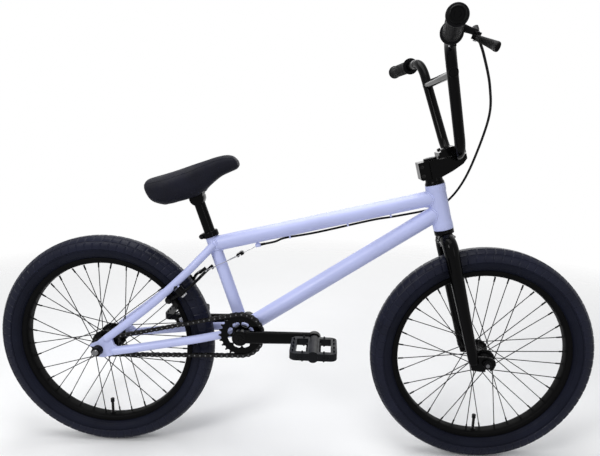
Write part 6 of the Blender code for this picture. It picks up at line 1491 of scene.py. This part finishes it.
# Seat
def make_seat_post():
    half, up = 0.015, SADDLE_MATRIX.to_3x3() @ Z_AXIS
    post = bar(SEAT_TUBE_TOP - SEAT_UP * 0.09, SEAT_TILT_PIVOT, SEAT_POST_DIAMETER, 64)
    head = lathe(disc(-half, half, SEAT_HEAD_RADIUS, 0.001), 72, Y_AXIS, SEAT_TILT_PIVOT)
    piece("seat_post_tube", "seat_post", [(GLOSS, post, head)], "seat_post", 34)
    shank = bar(SEAT_TILT_PIVOT - up * 0.006, SEAT_TILT_PIVOT + up * 0.0333, 0.0078, 24)
    bolt = socket_head(SEAT_TILT_PIVOT + up * 0.0331, up, 0.013, 0.0055, 0.5, 32)
    piece("seat_bolt", "seat_post", [(STEEL, shank, bolt)], "saddle_pivot_bolt", 32)


def saddle_rows():
    """The cover's half width, top and foot along its length."""
    tail, nose = SADDLE_TAIL_WIDTH / 2, SADDLE_NOSE_WIDTH / 2
    back, front = -SADDLE_BEHIND_PIVOT, SADDLE_LENGTH - SADDLE_BEHIND_PIVOT
    stations = (
        (back, tail * 0.62, 0.84, 0.45),
        (back + 0.003, tail * 0.74, 0.9, 0.34),
        (back + 0.01, tail * 0.88, 0.94, 0.2),
        (back + 0.03, tail * 0.99, 0.945, 0.06),
        (back + 0.05, tail, 0.945, 0.015),
        (back + 0.068, tail * 0.93, 0.95, 0.0),
        (-0.006, tail * 0.78, 0.965, 0.0),
        (0.012, tail * 0.6, 0.98, 0.03),
        (0.03, nose * 1.25, 0.99, 0.2),
        (0.05, nose * 1.06, 1.0, 0.33),
        (front - 0.045, nose, 1.01, 0.43),
        (front - 0.022, nose * 0.99, 0.985, 0.48),
        (front - 0.008, nose * 0.88, 0.9, 0.51),
        (front - 0.001, nose * 0.62, 0.76, 0.58),
    )
    rows = [(along, half, top * SADDLE_HEIGHT, low * SADDLE_HEIGHT) for along, half, top, low in stations]
    return list(zip(*[smooth_numbers(column, 8) for column in zip(*rows)]))


def saddle_point(row, turn, lift=0.0):
    """A point of the cover's section at a station: turn 0 is the left side, 90 degrees the crown."""
    along, half, top, low = row
    middle, tall, power = (top + low) / 2, (top - low) / 2, 2.7
    u, v = cos(turn), sin(turn)
    swell = (abs(u) ** power + abs(v) ** power) ** (-1 / power)
    y, z = (half + lift) * u * swell, middle + (tall + lift) * v * swell
    share = (z - low) / (top - low)
    draw = 1 - 0.1 * (1 - share) ** 2 - 0.05 * max(share - 0.7, 0) / 0.3
    return SADDLE_MATRIX @ Vector((along, y * draw, z))


def hollow():
    """The hollow under the cover, to just ahead of the post's head."""
    tail, back, front = SADDLE_TAIL_WIDTH / 2, 0.018 - SADDLE_BEHIND_PIVOT, SEAT_HEAD_RADIUS + 0.006
    half = [(back, tail * 0.34), (back + 0.022, tail * 0.58), (back + 0.045, tail * 0.6), (0.0, tail * 0.46),
            (front, SADDLE_NOSE_WIDTH * 0.37)]
    outline = [(along, -out) for along, out in half] + half[::-1]
    return plate(outline, -0.03, 0.05, SADDLE_MATRIX @ Matrix.Rotation(-pi / 2, 4, "X"))


def make_saddle():
    rows, count = saddle_rows(), 96
    rings = [[saddle_point(row, 2 * pi * (step + 0.5) / count) for step in range(count)] for row in rows]
    pocket = box((-0.018, -0.0095, 0.0), (0.018, 0.0095, 0.0411), SADDLE_MATRIX)
    head_room = lathe(disc(-0.02, 0.02, SEAT_HEAD_RADIUS + 0.002), 64, Y_AXIS, SEAT_TILT_PIVOT)
    cover = piece("saddle_cushion", "saddle", [(COVER, loft(rings))], "saddle_cover", 32,
                  cuts=[hollow(), pocket, head_room])
    lines = [[saddle_point(row, radians(turn), -0.0003) for row in rows[3:-3]] for turn in (38, 142)]
    seams = [sweep(line, 0.0016, 8) for line in lines]
    piece("saddle_seams", "saddle", [(COVER, *seams)], angle=60)


def finish_kept_nodes():
    """Looks and soft edges for the nodes that stay as the CAD has them."""
    looks = {"lower_head_bearing": STEEL, "upper_head_bearing": STEEL, "bb_bearing_right": DARK_STEEL,
             "bb_bearing_left": DARK_STEEL, "saddle_base": PLASTIC}
    for name, look in looks.items():
        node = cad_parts[name]
        node.data.materials.clear()
        node.data.materials.append(look)
        for face in node.data.polygons:
            face.material_index = 0
        soften(node, 0.0006, 30)


for brake_label, brake_side in SIDES.items():
    make_brake_arm(brake_label, brake_side)
    make_brake_shoe(brake_label, brake_side)
    make_brake_pivot(brake_label, brake_side)
make_yoke_and_wires()
make_brake_cable()
make_seat_post()
make_saddle()
finish_kept_nodes()


# Studio
def camera():
    """The photograph's viewpoint, level and turn."""
    first = Matrix(((1, 0, 0), (0, 0, -1), (0, 1, 0)))
    roll = Matrix.Rotation(radians(1.358), 3, "Z")
    pitch = Matrix.Rotation(radians(-11.744), 3, "X")
    yaw = Matrix.Rotation(radians(2.334), 3, "Z")
    rows = roll @ pitch.transposed() @ (first @ yaw.transposed())
    turned = Matrix((rows[0], -rows[1], -rows[2])).transposed().to_4x4()
    lens = bpy.data.cameras.new("camera")
    lens.sensor_width, lens.lens = 36.0, 31.22
    lens.shift_x, lens.shift_y = -0.00853, 0.02002
    lens.clip_start, lens.clip_end = 0.05, 50
    made = shown("camera", lens)
    made.matrix_world = Matrix.Translation((0.07353, -1.17185, 0.76731)) @ turned
    bpy.context.scene.camera = made


def softbox(name, place, target, size, power):
    light = bpy.data.lights.new(name, "AREA")
    light.shape, light.size, light.size_y = "RECTANGLE", size[0], size[1]
    light.energy = power
    made = shown(name, light)
    made.location = place
    made.rotation_euler = (Vector(target) - Vector(place)).to_track_quat("-Z", "Y").to_euler()


def mixed(tree, share, first, second):
    """A mix of two shader nodes."""
    mix = tree.nodes.new("ShaderNodeMixShader")
    for output, socket in zip((share, first.outputs[0], second.outputs[0]), mix.inputs):
        tree.links.new(output, socket)
    return mix.outputs[0]


def floor():
    """A pale floor that fades into the backdrop away from the bicycle."""
    look = Look("studio_floor")
    mottle = look.patches((1, 1, 1), 0.93, 0.95, look.noise(3, 3))
    look.relief(look.noise(120, 3), 0.03, 0.0003)
    look.done(mottle, look.span(look.noise(6, 3), 0.75, 0.85, 0.3, 0.7), Specular_IOR_Level=0.2)
    distance = look.add("ShaderNodeVectorMath", Vector=look.place)
    distance.operation = "LENGTH"
    fade = look.span(distance.outputs["Value"], 0.0, 1.0, 1.0, 2.6)
    clear = look.add("ShaderNodeBsdfTransparent")
    mix = mixed(look.tree, fade, look.shader, clear)
    look.tree.links.new(mix, look.tree.nodes["Material Output"].inputs["Surface"])
    mesh, reach = bpy.data.meshes.new("studio_floor"), 3.0
    corners = [(-reach, -reach, 0), (reach, -reach, 0), (reach, reach, 0), (-reach, reach, 0)]
    mesh.from_pydata(corners, [], [(0, 1, 2, 3)])
    mesh.materials.append(look.material)
    made = shown("studio_floor", mesh)
    made.location = (0, 0, -0.0004)


def backdrop():
    """White to the camera and in reflections, and a soft grey room to the rest of the light."""
    world = bpy.data.worlds.new("studio")
    bpy.context.scene.world = world
    world.use_nodes = True
    tree = world.node_tree
    sky = tree.nodes["Background"]
    sky.inputs["Color"].default_value = (0.8, 0.82, 0.86, 1)
    sky.inputs["Strength"].default_value = 0.36
    white = tree.nodes.new("ShaderNodeBackground")
    white.inputs["Color"].default_value = (1, 1, 1, 1)
    white.inputs["Strength"].default_value = 1.0
    path = tree.nodes.new("ShaderNodeLightPath")
    share = path.outputs["Is Camera Ray"]
    for ray in ("Is Glossy Ray", "Is Transmission Ray"):
        either = tree.nodes.new("ShaderNodeMath")
        either.operation = "MAXIMUM"
        tree.links.new(share, either.inputs[0])
        tree.links.new(path.outputs[ray], either.inputs[1])
        share = either.outputs[0]
    tree.links.new(mixed(tree, share, sky, white), tree.nodes["World Output"].inputs["Surface"])


camera()
softbox("overhead", (-0.2, -0.1, 2.4), (0, 0, 0.4), (2.4, 1.2), 40)
softbox("key", (-1.5, -2.0, 1.9), (0, 0, 0.45), (0.8, 0.8), 30)
softbox("strip", (1.3, -2.1, 1.1), (0, 0, 0.45), (0.16, 1.4), 5)
softbox("back", (0.4, 2.2, 1.6), (0, 0, 0.45), (2.2, 1.2), 12)
floor()
backdrop()
bpy.context.scene.view_settings.view_transform = "Standard"
